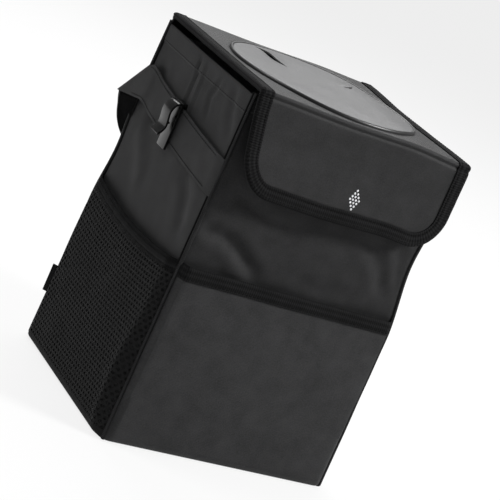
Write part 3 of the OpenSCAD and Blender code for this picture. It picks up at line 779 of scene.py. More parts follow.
class CARBIN_OT_mesh_pockets(bpy.types.Operator):
    """Adds the two mesh pockets with their elastic hems."""

    bl_idname = "car_bin.mesh_pockets"
    bl_label = "Mesh pockets"

    def execute(self, context):
        for side in ("left", "right"):
            net = self.net(side)
            finish_piece(net, net_material(), "bin", [side + "_mesh_pocket"], angle=60)
            hem = self.hem(side)
            finish_piece(hem, elastic_material(), "bin", [side + "_mesh_hem"])
            rows = [self.hem_stitches(side, drop * MM) for drop in (2.0, 6.6)]
            piece = join(side + "_mesh_stitches", rows)
            finish_piece(piece, thread_and_painted_shadow_material(), "bin")
        return {"FINISHED"}

    def mouth(self, s, half):
        """Height of the mouth at s along the wall."""
        return MESH_HIGH.z - sizes().mesh_sag * (1 - (s / half) ** 2)

    def face(self, side, s, z, out=0.0):
        """Point on the pocket's outer face, with the fold that stands near its front edge."""
        half = wall_half(side, z)[0]
        from_front = half - s if side == "left" else half + s
        place, width = NET_FOLD
        fold = 3 * MM * math.exp(-(((from_front - place) / width) ** 2))
        fold *= smooth((105 * MM - z) / (60 * MM)) * smooth(z / (18 * MM))
        edge = smooth((half - abs(s)) / (16 * MM)) * smooth(z / (16 * MM))
        gather = smooth((z - (MESH_HIGH.z - 28 * MM)) / (22 * MM))
        stand = pocket_stand(s, z, half, sizes().mesh_full, 0.8, 11 * MM) * (1 - 0.35 * gather)
        loose = edge * slack(s, z, NET_SLACK, NET_SEEDS[side]) * (1 - gather)
        return off_wall(side, s, z, stand + fold + loose - edge_roll(half, s) + 0.9 * MM + out)

    def net(self, side):
        """A knitted net of six-sided holes: one cell, repeated, cut to the pocket and laid over the wall."""
        pitch = sizes().net_pitch
        radius = pitch / math.sqrt(3)
        bpy.ops.object.select_all(action="DESELECT")
        bpy.ops.mesh.primitive_circle_add(vertices=6, radius=radius, fill_type="NGON")
        net = bpy.context.object
        net.name = side + "_net"
        with editing(net):
            bpy.ops.mesh.inset(thickness=sizes().net_web / 2)
            bpy.ops.mesh.delete(type="FACE")
            bpy.ops.mesh.select_all(action="SELECT")
            bpy.ops.mesh.duplicate_move(TRANSFORM_OT_translate={"value": (pitch / 2, 1.5 * radius, 0)})
        half = wall_half(side, 50 * MM)[0]
        columns = math.ceil(2 * half / pitch) + 2
        rows = math.ceil(MESH_HIGH.z / (3 * radius)) + 1
        for count, offset in ((columns, (pitch, 0, 0)), (rows, (0, 3 * radius, 0))):
            add_modifier(
                net, "ARRAY", count=count, use_relative_offset=False, use_constant_offset=True,
                constant_offset_displace=offset, use_merge_vertices=True, merge_threshold=0.05 * MM,
            )
        merge_doubles(net, 0.05 * MM)
        start = columns * pitch / 2
        for vertex in net.data.vertices:
            vertex.co.x -= start
        for point, normal in (
            ((-half, 0, 0), (-1, 0, 0)), ((half, 0, 0), (1, 0, 0)),
            ((0, 0.8 * MM, 0), (0, -1, 0)), ((0, MESH_HIGH.z - 3 * MM, 0), (0, 1, 0)),
        ):
            with editing(net):
                bpy.ops.mesh.bisect(plane_co=point, plane_no=normal, clear_outer=True)
        for vertex in net.data.vertices:
            s = vertex.co.x
            z = vertex.co.y * self.mouth(s, half) / MESH_HIGH.z
            vertex.co = self.face(side, s * wall_half(side, z)[0] / half, z, -0.2 * MM)
        face_outwards(net)
        thicken(net, sizes().net_t)
        return join(side + "_net", [net, self.foot(side)])

    def foot(self, side):
        """The net's lower edge, turned in and sewn flat."""
        heights = [z * MM for z in (0.4, 1.2, 2, 3, 4.5, 6.5)]
        strip = grid_sheet(
            side + "_foot",
            spread(-1, 1, 60),
            heights,
            lambda u, z: self.face(side, u * wall_half(side, z)[0], z, -0.1 * MM),
            lambda u, z: (u * HALF_D, z),
        )
        thicken(strip, sizes().net_t)
        return strip

    def hem(self, side):
        """Elastic folded over the net's mouth."""
        width = sizes().elastic_w
        section = [(width, 0.5), (0.7 * width, 0.7), (0.3 * width, 0.7), (0.6 * MM, 0.5), (-0.5 * MM, 0.0)]
        section += [(-0.5 * MM, -0.9), (0.6 * MM, -1.3), (width, -1.3), (width, -0.9), (0.4 * MM, -0.9)]
        section += [(0.4 * MM, 0.0), (width, 0.0)]
        us = spread(-1, 1, 90)

        def place(i, point):
            half = wall_half(side, MESH_HIGH.z)[0] - 0.4 * MM
            s = us[i] * half
            pucker = 0.35 * MM * uneven(s / 0.006, point[0] / 0.02, 12.0)
            return self.face(side, s, self.mouth(s, half) - point[0], point[1] * MM + pucker)

        return swept(side + "_mesh_elastic", len(us), section, place)

    def hem_stitches(self, side, drop):
        """A row of stitches along the hem."""
        half = wall_half(side, MESH_HIGH.z)[0] - 2 * MM
        spots = [self.face(side, s, self.mouth(s, half) - drop, 0.75 * MM) for s in spread(-half, half, 120)]
        return stitch_row(side + "_hem_stitches", spots, [WALLS[side][1]] * len(spots))


# The strap, its buckle and the bag clips


def strap_side_points():
    """Middle line of the strap along the left side panel, from the front seam to past the back edge."""
    t = sizes().strap_t
    seam_z = RIM_Z - 63 * MM
    flat_x = HALF_W + STRAP_OFF + t / 2
    leave_y = HALF_D - 34 * MM

    def height(y):
        share = (y + HALF_D) / (2 * HALF_D)
        return seam_z + 16 * MM * share * (0.5 + 0.5 * share)

    leave = Vector((-flat_x, leave_y, height(leave_y)))
    edge = Vector((-FOLD_X, HALF_D - 12 * MM, FOLD_Z + 0.6 * MM))
    points = [Vector((-HALF_W - 1.2 * MM, -HALF_D + 0.4 * MM, height(-HALF_D)))]
    points += [Vector((-flat_x, y, height(y))) for y in spread(6 * MM - HALF_D, leave_y, 24)[:-1]]
    points += bezier(leave, leave + Vector((0, 10, 1.6)) * MM, edge - Vector((0, 10, 0)) * MM, edge, 10)
    return points + [edge]


def strap_loop_points():
    """Middle line of the hanging loop, seen from the front: down, inwards, and round the buckle's bar."""
    t = sizes().strap_t
    bar_r = 1.5 * MM
    bar = Vector((BUCKLE_LOW.x + bar_r, 0, (BUCKLE_LOW.z + BUCKLE_HIGH.z) / 2))
    wrap = bar_r + 0.3 * MM + t / 2
    bend = Vector((-LOOP_X, 0, FOLD_Z - 26 * MM))
    near = bar + Vector((-8 * MM, 0, wrap))
    points = bezier(bend, bend + Vector((7, 0, -17)) * MM, near - Vector((30, 0, 0)) * MM, near, 30)
    points += [bar + on_circle(wrap, a).to_3d().xzy for a in range(90, -91, -15)]
    return points + [bar - Vector((d * MM, 0, wrap)) for d in (5, 10, 15, 20)]


def strap_rows():
    """Rows of the strap's left half. Each gives the point and outward direction at a share of the width."""
    w = sizes().strap_w
    front = STRAP_HIGH.y - w
    slant = math.sqrt(0.5)
    side = strap_side_points()
    loop = strap_loop_points()

    def fold(u):
        """Point of the slanting fold at a share of the width. The band is gathered a little there."""
        return Vector((-FOLD_X, front - 10 * MM + (0.5 - u) * 33 * MM, FOLD_Z + (u * 32 - 4.6) * MM))

    def below(u, t):
        """Point of the band between the fold and the top of the loop."""
        top = fold(u)
        return top.lerp(Vector((-LOOP_X, front + (0.5 - u) * w - pulled(u, 0), loop[0].z)), t)

    def pulled(u, i):
        """How far the band is pulled forward at row i of the loop, most at its front edge."""
        return 2 * MM * (0.5 + u) * (1 - smooth(i / 7)) + 9 * MM * (1 - smooth(i / 12))

    rows = []
    for i, p in enumerate(side):
        d = side[min(i + 1, len(side) - 1)] - side[max(i - 1, 0)]
        out = Vector((-d.y, d.x, 0)).normalized()
        rows.append(lambda u, p=p, out=out: (p + Vector((0, 0, u * w)), out))
    last = side[-1]
    for t in spread(0, 1, 8)[1:]:
        rows.append(lambda u, t=t: ((last + Vector((0, 0, u * w))).lerp(fold(u), t), Vector((-1, 0, 0))))
    bend = (FOLD_X - LOOP_X) / 2
    for a in range(30, 151, 30):
        c = math.cos(math.radians(a))
        s = math.sin(math.radians(a)) * slant
        rows.append(lambda u, c=c, s=s: (
            fold(u) + Vector((bend * (1 - c), bend * s, bend * s)), Vector((-c, s, s))
        ))
    for t in spread(0, 1, 8)[:-1]:
        rows.append(lambda u, t=t: (below(u, t) + Vector((2 * bend * (1 - t), 0, 0)), Vector((1, 0, 0))))
    for i, p in enumerate(loop):
        d = loop[min(i + 1, len(loop) - 1)] - loop[max(i - 1, 0)]
        out = Vector((-d.z, 0, d.x)).normalized()
        rows.append(lambda u, i=i, p=p, out=out: (
            p + Vector((0, front + (0.5 - u) * w - pulled(u, i), 0)), out
        ))
    return rows, len(side), len(loop)


class CARBIN_OT_strap(bpy.types.Operator):
    """Adds the strap's two halves, each folded over behind its side panel, with their stitches."""

    bl_idname = "car_bin.strap"
    bl_label = "Strap"

    def execute(self, context):
        rows, side_count, loop_count = strap_rows()
        across = [-0.5, -0.49, -0.44, -0.4, -0.38, -0.2, 0, 0.2, 0.38, 0.4, 0.44, 0.49, 0.5]
        w = sizes().strap_w
        t = sizes().strap_t

        def place(u, i):
            point, out = rows[i](u)
            firm = min(i / 4, 1) if i < side_count else 0.4
            return point + out * (0.45 * MM * uneven(i / 4, u * 2, 4.0) * firm)

        def inner(u, i):
            return place(u, i) - rows[i](u)[1] * (t / 2 + 0.12 * MM)

        def flat(u, i):
            return (i * 5 * MM, u * w)

        def thread(u, start, end, face):
            found = [rows[i](u) for i in range(start, end)]
            spots = [point + out * face * (t / 2 + 0.2 * MM) for point, out in found]
            return stitch_row("strap_thread", spots, [out * face for _, out in found])

        # Stitched runs of rows, and which face they lie on: the side, and both faces of the loop
        loop_start = len(rows) - loop_count
        stitched = (
            (2, side_count + 3, 1), (loop_start, len(rows) - 4, -1), (loop_start, len(rows) - 14, 1)
        )
        for side in ("left", "right"):
            band = grid_sheet(side + "_band", across, list(range(len(rows))), place, flat)
            merge_doubles(band)
            add_modifier(band, "SOLIDIFY", thickness=t, offset=0, use_even_offset=False)
            stitches = join(
                side + "_band_stitches", [thread(u, *run) for u in (-0.42, 0.42) for run in stitched]
            )
            # A dark sheet just inside the band's reverse face, over the fold and the loop: painted shade for
            # the inside of the fold.
            narrow = [u * 0.92 + 0.04 for u in across]
            painted_fold_shade = grid_sheet(side + "_band_painted_shade", narrow, list(range(8, len(rows) - 12)), inner, flat)
            merge_doubles(painted_fold_shade)
            add_modifier(painted_fold_shade, "SOLIDIFY", thickness=0.3 * MM, offset=0, use_even_offset=False)
            if side == "right":
                for piece in (band, stitches, painted_fold_shade):
                    self.swap_side(piece)
            finish_piece(band, strap_material(), "bin", [side + "_strap"])
            finish_piece(stitches, thread_and_painted_shadow_material(), "bin")
            finish_piece(painted_fold_shade, lining_and_painted_shade_material(), "bin")
        return {"FINISHED"}

    def swap_side(self, piece):
        """Mirrors a piece to the right side, where the wall is drawn in further."""
        for vertex in piece.data.vertices:
            vertex.co.x *= -1
            vertex.co.x = settle(vertex.co).x
        piece.data.flip_normals()


def rounded_copy(node, name, width):
    """A copy of a CAD node with its sharp edges rounded."""
    piece = bpy.data.objects.new(name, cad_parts[node].data.copy())
    bpy.context.scene.collection.objects.link(piece)
    merge_doubles(piece)
    with editing(piece):
        bpy.ops.mesh.dissolve_limited(angle_limit=math.radians(1))
    if piece.data.has_custom_normals:
        bpy.ops.mesh.customdata_custom_splitnormals_clear()
    add_modifier(piece, "BEVEL", width=width, segments=3, limit_method="ANGLE", angle_limit=math.radians(35))
    return piece


class CARBIN_OT_fittings(bpy.types.Operator):
    """Adds the bag clips and the buckle, with rounded edges."""

    bl_idname = "car_bin.fittings"
    bl_label = "Clips and buckle"

    def execute(self, context):
        clip = clip_material()
        for side in ("left", "right"):
            piece = rounded_copy(side + "_bag_clip", side + "_clip", 0.35 * MM)
            finish_piece(piece, clip, "bin", [side + "_bag_clip"])
        buckle = buckle_material()
        for half in ("socket", "plug"):
            piece = rounded_copy("buckle_" + half, "strap_" + half, 0.5 * MM)
            finish_piece(piece, buckle, "bin", ["buckle_" + half])
        return {"FINISHED"}


# The lid and the flap, which are one length of cloth


def fold_start():
    """Length along the cloth from the lid's back edge to the fold."""
    return LID_BACK - BACK_ROLL + FLAP_FACE - sizes().fold_r


def fold_end():
    """Length along the cloth to where it hangs straight down."""
    return fold_start() + math.pi / 2 * sizes().fold_r


def length_to(z):
    """Length of the cloth from the lid's back edge to height z on the flap."""
    return fold_end() + LID_TOP - sizes().fold_r - z


def cover_length():
    """Length of the cloth from the lid's back edge to the flap's lower edge."""
    return length_to(FLAP_BOTTOM)


def flap_lift(x, drop):
    """How far the flap stands off at x, drop below the fold: most at its left corner."""
    low = max(drop, 0.0) / (64 * MM)
    wave = 0.4 * MM * math.sin(x / (26 * MM) + 0.8) * smooth(low)
    return low**1.3 * sizes().flap_lift * (1 - 0.6 * x / FLAP_HALF_W) + wave


def on_cover(x, s, n=0.0):
    """Point at x and length s on the lid and flap cloth, n above its outer face."""
    r = sizes().fold_r
    start = fold_start()
    end = fold_end()
    if s < 0:
        turn = min(-s / BACK_ROLL, math.pi / 2)
        y = LID_BACK + (BACK_ROLL + n) * math.sin(turn) - BACK_ROLL
        z = LID_TOP + (BACK_ROLL + n) * math.cos(turn) - BACK_ROLL + min(s + math.pi / 2 * BACK_ROLL, 0)
        return Vector((x, y, z + rise(x, LID_BACK)))
    if s <= start:
        y = LID_BACK - BACK_ROLL - s
        dip = slack(x, s, LID_SLACK) * smooth(s / (20 * MM)) * smooth((start - s) / (12 * MM))
        return Vector((x, y, LID_TOP + n + dip + rise(x, y)))
    angle = min((s - start) / r, math.pi / 2)
    drop = max(s - end, 0.0)
    x += FLAP_DRAW * smooth(drop / (56 * MM)) * smooth(-x / FLAP_HALF_W)
    y = -FLAP_FACE + r - (r + n) * math.sin(angle)
    z = LID_TOP - r + (r + n) * math.cos(angle) - drop + rise(x, y)
    ripple = slack(x, drop, FLAP_SLACK) * smooth(drop / (10 * MM))
    crease = CREASE_DEPTH * math.exp(-((((s - end) / MM - 1.6) / 1.1) ** 2))
    return Vector((x, y - flap_lift(x, drop) - ripple + crease, z))


def cover_normal(x, s):
    """Outward direction of the lid and flap cloth."""
    step = 0.5 * MM
    across = on_cover(x + step, s) - on_cover(x - step, s)
    down = on_cover(x, s + step) - on_cover(x, s - step)
    return across.cross(down).normalized() * -1


def cover_half(s, inset=0.0):
    """Half the width of the lid and flap at length s."""
    total = cover_length() - inset
    taper = smooth((s - fold_start()) / (24 * MM))
    half = LID_HALF_W + (FLAP_HALF_W - LID_HALF_W) * taper - inset
    back = sizes().lid_corner_r
    low = sizes().flap_corner_r - inset
    if s < inset + back:
        gap = back - min(max(s - inset, 0.0), back)
        half -= back - math.sqrt(max(back * back - gap * gap, 0.0))
    if s > total - low:
        gap = min(s - (total - low), low)
        half -= low - math.sqrt(low * low - gap * gap)
    return half


def cover_rows(start, end, inset=0.0):
    """Lengths of the cloth's rows between start and end, closer where its outline or the fold bends."""
    back = sizes().lid_corner_r
    low = sizes().flap_corner_r - inset
    total = cover_length() - inset
    rows = [-3 * MM, -2 * MM] + [-BACK_ROLL * math.radians(a) for a in (90, 60, 30, 0)]
    rows += [inset + back * (1 - math.cos(math.radians(a))) for a in range(0, 91, 15)]
    rows += spread(inset + back + 1.5 * MM, fold_start(), 84)
    rows += spread(fold_start(), fold_end(), 10)[1:]
    rows += [fold_end() + d * MM for d in (0.5, 1, 1.5, 2, 2.6, 3.4)]
    rows += spread(fold_end() + 4.4 * MM, total - low, 15)
    rows += [total - low + low * math.sin(math.radians(a)) for a in range(5, 91, 5)]
    return [s for s in rows if start <= s <= end]


def cover_sheet(name, n, inset, start=0.0, end=1.0):
    """A layer of the lid and flap between two lengths, with its outer face n above the cloth's."""
    piece = grid_sheet(
        name,
        spread(-1, 1, 88),
        cover_rows(start, end, inset),
        lambda u, s: on_cover(u * cover_half(s, inset), s, n),
        lambda u, s: (u * cover_half(s, inset), s),
    )
    piece.data.flip_normals()
    return piece


def cut_round_hole(piece):
    """Cuts the round opening through a flat layer of the lid."""
    centre = RING_CENTRE.xy
    with editing(piece, None):
        bpy.ops.mesh.select_mode(type="FACE")
        bpy.ops.mesh.select_all(action="DESELECT")
    for face in piece.data.polygons:
        face.select = (face.center.xy - centre).length < HOLE_R and face.center.z > LID_TOP - 8 * MM
    with editing(piece, None):
        bpy.ops.mesh.delete(type="FACE")
    uses = Counter(edge for face in piece.data.polygons for edge in face.edge_keys)
    border = {corner for edge, count in uses.items() if count == 1 for corner in edge}
    for vertex in piece.data.vertices:
        away = vertex.co.xy - centre
        if vertex.index in border and away.length < HOLE_R + 3 * MM:
            vertex.co.xy = centre + away.normalized() * HOLE_R


def edge_line():
    """The cover's bound edge as (x, s, inward x, inward s), from the back left corner round to the right."""
    total = cover_length()
    low = sizes().flap_corner_r
    half = FLAP_HALF_W - low
    left = [(-cover_half(s), s, 1.0, 0.0) for s in spread(sizes().lid_corner_r, total - low, 150)]
    for a in range(6, 90, 6):
        across, down = on_circle(1, a)
        left.append((-half - low * across, total - low + low * down, across, -down))
    bottom = [(x, total, 0.0, -1.0) for x in spread(-half, half, 60)]
    right = [(-x, s, -dx, ds) for x, s, dx, ds in reversed(left)]
    return left + bottom + right


class CARBIN_OT_cover(bpy.types.Operator):
    """Adds the lid and flap: outer cloth, boards, lining, binding tape and stitches."""

    bl_idname = "car_bin.cover"
    bl_label = "Lid and flap"

    def execute(self, context):
        cloth_t = sizes().cloth_t
        board_t = sizes().board_t
        lining_t = sizes().lining_t
        outer = cover_sheet("lid_and_flap_cloth", 0.0, 0.4 * MM, -3 * MM)
        cut_round_hole(outer)
        thicken(outer, cloth_t)
        finish_piece(outer, lid_material(), None, ["lid_cloth", "flap_cloth"])
        self.fold(outer)
        lining = cover_sheet("lid_and_flap_lining", -cloth_t - board_t, 1.2 * MM)
        cut_round_hole(lining)
        thicken(lining, lining_t)
        finish_piece(lining, lining_and_painted_shade_material(), None, ["lid_lining", "flap_lining"])
        self.fold(lining)
        for body, start, end in (("lid", 0.0, fold_start() - 2 * MM), ("flap", fold_end() + 4 * MM, 1.0)):
            board = cover_sheet(body + "_stiffener", -cloth_t - 0.05 * MM, 2.5 * MM, start, end)
            if body == "lid":
                cut_round_hole(board)
            thicken(board, board_t - 0.1 * MM)
            finish_piece(board, board_material(), body, [body + "_board"])
        self.binding(cloth_t + board_t + lining_t)
        self.grips()
        return {"FINISHED"}

    def fold(self, piece):
        """Bakes the piece's placing into its mesh."""
        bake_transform(piece)

    def binding(self, stack):
        """Tape folded over the edge all the way round, in one length, with two rows of stitches."""
        t = sizes().tape_t
        w = sizes().tape_w
        line = edge_line()
        section = [(w, -0.1 * MM), (w - 0.1 * MM, 1.3 * t), (w - 0.6 * MM, 1.7 * t), (0.8 * w, 1.6 * t)]
        section += [(0.62 * w, 1.75 * t), (0.35 * w, 1.8 * t), (0.15 * w, 1.7 * t), (0.5 * MM, 1.2 * t)]
        section += [(-0.5 * MM, 0.3 * t), (-0.8 * MM, -0.5 * MM), (-0.5 * MM, -stack / 2)]
        section += [(0, 0.6 * MM - stack)]
        section += [(0.5 * MM, -stack - 0.3 * t), (1.2 * MM, -stack - 0.7 * t), (0.5 * w, -stack - 0.8 * t)]
        section += [(w, -stack - 0.7 * t), (w, -stack), (0.6 * MM, -stack + 0.2 * MM), (0.6 * MM, -0.2 * MM)]

        def place(i, point):
            x, s, dx, ds = line[i]
            pull = 0.18 * MM * uneven(i / 5, point[0] / 0.004, 1.0)
            return on_cover(x + dx * point[0], s + ds * point[0], point[1] + pull)

        tape = swept("lid_and_flap_tape", len(line), section, place)
        bound = ["lid_left_binding", "lid_right_binding", "flap_binding"]
        finish_piece(tape, tape_material(), None, bound)
        self.fold(tape)
        rows = []
        for inward in (1.8 * MM, w - 2.2 * MM):
            inner = [(x + dx * inward, s + ds * inward) for x, s, dx, ds in line]
            spots = [on_cover(x, s, 1.75 * t) for x, s in inner]
            rows.append(stitch_row("lid_and_flap_stitches", spots, [cover_normal(x, s) for x, s in inner]))
        stitches = join("lid_and_flap_stitches", rows)
        finish_piece(stitches, thread_and_painted_shadow_material(), None)
        self.fold(stitches)

    def grips(self):
        """The hook strip behind the flap and the loop strip on the front wall."""
        stack = sizes().cloth_t + sizes().board_t + sizes().lining_t
        across = spread(-GRIP_HIGH.x, GRIP_HIGH.x, 40)
        hook = grid_sheet(
            "flap_hook_strip", across, spread(length_to(GRIP_HIGH.z), length_to(GRIP_LOW.z), 12),
            lambda x, s: on_cover(x, s, -stack), lambda x, s: (x, s),
        )
        hook.data.flip_normals()
        thicken(hook, 0.9 * MM)
        finish_piece(hook, grip_material(), "flap", ["flap_grip_strip"])
        loop = grid_sheet(
            "front_loop_strip", across, spread(GRIP_LOW.z, GRIP_HIGH.z, 12),
            lambda x, z: wall_point("front", x, z, 1.0 * MM), lambda x, z: (x, z),
        )
        thicken(loop, 0.95 * MM)
        finish_piece(loop, grip_material(), "bin", ["front_grip_strip"])


class CARBIN_OT_hinge(bpy.types.Operator):
    """Adds the tape that joins the lid to the back wall."""

    bl_idname = "car_bin.hinge"
    bl_label = "Lid hinge tape"

    def execute(self, context):
        half = LID_HALF_W - sizes().lid_corner_r + 1 * MM
        low = spread(HINGE_LOW.z, RIM_Z - 1 * MM, 8)
        over = [(y * MM, z * MM) for y, z in ((0.2, 0.2), (0.4, 0.9), (0.2, 1.6), (-1.2, 1.9))]

        def place(x, i):
            if i < len(low):
                return wall_point("back", -x, low[i], 1.2 * MM)
            y, z = over[i - len(low)]
            return Vector((x, LID_BACK + y, RIM_Z + z + rise(x, HALF_D)))

        rows = list(range(len(low) + len(over)))
        piece = grid_sheet("hinge_tape", spread(-half, half, 60), rows, place, lambda x, i: (x, i * 1.5 * MM))
        piece.data.flip_normals()
        thicken(piece, 0.5 * MM)
        finish_piece(piece, tape_material(), None, ["lid_hinge_tape"])
        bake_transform(piece)
        return {"FINISHED"}


class CARBIN_OT_opening(bpy.types.Operator):
    """Adds the raised ring and the supple disc with its cross cut."""

    bl_idname = "car_bin.opening"
    bl_label = "Push-through opening"

    def execute(self, context):
        self.ring()
        self.disc()
        return {"FINISHED"}

    def ring(self):
        """The raised bead round the opening, which follows the lid."""
        high = RING_HIGH.z - LID_TOP
        half = 1.5 * MM
        section = [(half, -0.4 * MM)]
        section += [(x * half, z * high) for x, z in ((1, 0.35), (0.8, 0.72), (0.4, 0.95))]
        section += [(0, high)] + [(-x, z) for x, z in reversed(section)]
        steps = 144

        def place(i, point):
            x, y = RING_CENTRE.xy + on_circle(RING_R - half + point[0], 360 * i / steps)
            return Vector((x, y, LID_TOP + rise(x, y) + point[1]))

        piece = swept("opening_bead", steps + 1, section, place)
        finish_piece(piece, ring_material(), "lid", ["opening_ring"])

    def disc(self):
        """The supple disc: four petals that meet at a cross cut, which stands open a little on one arm."""
        radius = DISC_HIGH.x - 0.2 * MM
        cut = radius - 6 * MM
        centre = (DISC_LOW + DISC_HIGH) / 2
        first_arm = 38

        def arm(k, r):
            """Direction of one arm of the cut at radius r, and half the width of its gap."""
            # The second arm bends towards the rim and stands open. The first waves a little at its middle.
            if k % 4 == 1:
                bent = first_arm + 90 - 11.5 * smooth((r - 36 * MM) / (26 * MM))
                return bent, 0.36 * MM * smooth((r - 28 * MM) / (9 * MM)) * smooth((cut - r) / (4 * MM))
            start = first_arm + 90 * (k % 4)
            gap = 0.03 * MM * smooth((cut - r) / (4 * MM))
            if k % 4 == 0:
                start += 4 * math.sin(r / (9 * MM)) * bump(r, 46 * MM, 14 * MM)
                gap += 0.3 * MM * bump(r, 46 * MM, 9 * MM)
            return start, gap

        sectors = []
        for k in range(4):
            def place(a, r):
                first, first_gap = arm(k, r)
                second, second_gap = arm(k + 1, r)
                if second < first:
                    second += 360
                turn = math.radians(first + (second - first) * a)
                side = first_gap * max(1 - 8 * a, 0) - second_gap * max(8 * a - 7, 0)
                curl = 0.0
                if k == 0:
                    curl += 1.5 * MM * bump(a, 1, 0.22) * bump(r, 50 * MM, 19 * MM) ** 0.7
                    curl += 1.1 * MM * bump(a, 0, 0.16) * bump(r, 46 * MM, 12 * MM)
                if k == 1:
                    curl -= 0.6 * MM * bump(a, 0, 0.2) * bump(r, 50 * MM, 19 * MM)
                x = centre.x + r * math.cos(turn) - side * math.sin(turn)
                y = centre.y + r * math.sin(turn) + side * math.cos(turn)
                dome = 0.9 * MM * math.cos(math.pi / 2 * min(r / radius, 1))
                sag = 0.5 * MM * (1 - smooth(r / cut))
                ripple = 0.3 * MM * uneven(x / 0.03, y / 0.03, 2.0) * smooth((radius - r) / (12 * MM))
                return Vector((x, y, DISC_HIGH.z + dome - sag + curl + ripple + rise(x, y)))

            def flat(a, r):
                return on_circle(r, first_arm + 90 * (k + a))

            sectors.append(grid_sheet("petal", spread(0, 1, 32), spread(0.4 * MM, radius, 56), place, flat))
        disc = join("push_through_disc", sectors)
        merge_doubles(disc)
        face_outwards(disc)
        if disc.data.polygons[0].normal.z < 0:
            disc.data.flip_normals()
        thicken(disc, 1 * MM)
        finish_piece(disc, leather_material(), "lid", ["opening_disc"])


class CARBIN_OT_dots(bpy.types.Operator):
    """Adds the small reflective dots on the flap, in a plain diamond."""

    bl_idname = "car_bin.dots"
    bl_label = "Reflective dots"

    def execute(self, context):
        low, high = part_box("reflector_dots")
        radius = 0.85 * MM
        flatness = 0.45
        rows = [1, 2, 3, 4, 3, 2, 1]
        pitch_z = (high.z - low.z - 2 * radius) / (len(rows) - 1)
        pitch_x = (high.x - low.x - 2 * radius) / (max(rows) - 1)
        mid_x = (low.x + high.x) / 2
        parts = []
        for row, count in enumerate(rows):
            s = length_to(low.z + radius + row * pitch_z)
            for i in range(count):
                x = mid_x + (i - (count - 1) / 2) * pitch_x
                bpy.ops.mesh.primitive_uv_sphere_add(segments=14, ring_count=8, radius=radius)
                dot = bpy.context.object
                turn = cover_normal(x, s).to_track_quat("Z", "Y").to_matrix()
                spot = on_cover(x, s)
                for vertex in dot.data.vertices:
                    vertex.co.z *= flatness
                    vertex.co = spot + turn @ vertex.co
                parts.append(dot)
        finish_piece(join("reflective_dots", parts), dot_material(), "flap", ["reflector_dots"])
        return {"FINISHED"}


# Materials


def new_group(name, inputs, outputs):
    """A shader node group with those number inputs, given with their defaults, and those number outputs."""
    group = bpy.data.node_groups.new(name, "ShaderNodeTree")
    for label, default in inputs.items():
        socket = group.interface.new_socket(name=label, in_out="INPUT", socket_type="NodeSocketFloat")
        socket.default_value = default
    for label in outputs:
        group.interface.new_socket(name=label, in_out="OUTPUT", socket_type="NodeSocketFloat")
    return group, group.nodes.new("NodeGroupInput"), group.nodes.new("NodeGroupOutput")


def feed(tree, socket, value):
    """Links a socket to another one, or sets it to a value."""
    if isinstance(value, bpy.types.NodeSocket):
        tree.links.new(value, socket)
    else:
        socket.default_value = value


def add_node(tree, kind, **inputs):
    """A new shader node with those inputs."""
    node = tree.nodes.new("ShaderNode" + kind)
    for label, value in inputs.items():
        feed(tree, node.inputs[label], value)
    return node


def calc(tree, operation, *values):
    """Result of a math node on sockets or numbers."""
    node = tree.nodes.new("ShaderNodeMath")
    node.operation = operation
    for socket, value in zip(node.inputs, values):
        feed(tree, socket, value)
    return node.outputs[0]


def wave(tree, place, width):
    """Sine of a coordinate, with a half turn every width."""
    return calc(tree, "SINE", calc(tree, "MULTIPLY", calc(tree, "DIVIDE", place, width), math.pi))


def weave_group():
    """Plain weave: threads that cross over and under, one thread each Thread metres of UV."""
    if "Plain weave" in bpy.data.node_groups:
        return bpy.data.node_groups["Plain weave"]
    group, inside, outside = new_group("Plain weave", {"Thread": 0.6 * MM}, ("Height", "Tone"))
    uv = add_node(group, "UVMap").outputs[0]
    split = add_node(group, "SeparateXYZ", Vector=uv)
    waves = [wave(group, split.outputs[axis], inside.outputs["Thread"]) for axis in (0, 1)]
    height = calc(group, "ADD", calc(group, "MULTIPLY", calc(group, "MULTIPLY", *waves), 0.5), 0.5)
    speckle = add_node(group, "TexNoise", Vector=uv, Scale=900, Detail=2)
    tone = calc(group, "ADD", calc(group, "MULTIPLY", height, 0.35), speckle.outputs["Fac"])
    feed(group, outside.inputs["Height"], height)
    feed(group, outside.inputs["Tone"], tone)
    return group


def blotch_group():
    """Slow uneven tone, as handling and light dust leave on cloth."""
    if "Handling tone" in bpy.data.node_groups:
        return bpy.data.node_groups["Handling tone"]
    group, inside, outside = new_group("Handling tone", {"Scale": 30.0}, ["Tone"])
    where = add_node(group, "TexCoord").outputs["Object"]
    cloud = add_node(group, "TexNoise", Vector=where, Scale=inside.outputs["Scale"], Detail=4, Roughness=0.6)
    feed(group, outside.inputs["Tone"], cloud.outputs["Fac"])
    return group


def rib_group():
    """Ribs across a tape, one each Rib metres along it, crossed by a wider twill."""
    if "Tape ribs" in bpy.data.node_groups:
        return bpy.data.node_groups["Tape ribs"]
    group, inside, outside = new_group("Tape ribs", {"Rib": 0.9 * MM}, ["Height"])
    split = add_node(group, "SeparateXYZ", Vector=add_node(group, "UVMap").outputs[0])
    ribs = calc(group, "ABSOLUTE", wave(group, split.outputs[0], inside.outputs["Rib"]))
    twill = wave(group, split.outputs[1], 2 * MM)
    height = calc(group, "ADD", calc(group, "MULTIPLY", ribs, 0.7), calc(group, "MULTIPLY", twill, 0.3))
    feed(group, outside.inputs["Height"], height)
    return group


def grain_group():
    """Pebbled grain of imitation leather."""
    if "Leather grain" in bpy.data.node_groups:
        return bpy.data.node_groups["Leather grain"]
    group, inside, outside = new_group("Leather grain", {"Scale": 700.0}, ["Height"])
    where = add_node(group, "TexCoord").outputs["Object"]
    cells = add_node(group, "TexVoronoi")
    cells.feature = "SMOOTH_F1"
    feed(group, cells.inputs["Vector"], where)
    feed(group, cells.inputs["Scale"], inside.outputs["Scale"])
    fine = add_node(group, "TexNoise", Vector=where, Scale=inside.outputs["Scale"], Detail=3)
    height = calc(group, "ADD", cells.outputs["Distance"], calc(group, "MULTIPLY", fine.outputs["Fac"], 0.4))
    feed(group, outside.inputs["Height"], height)
    return group


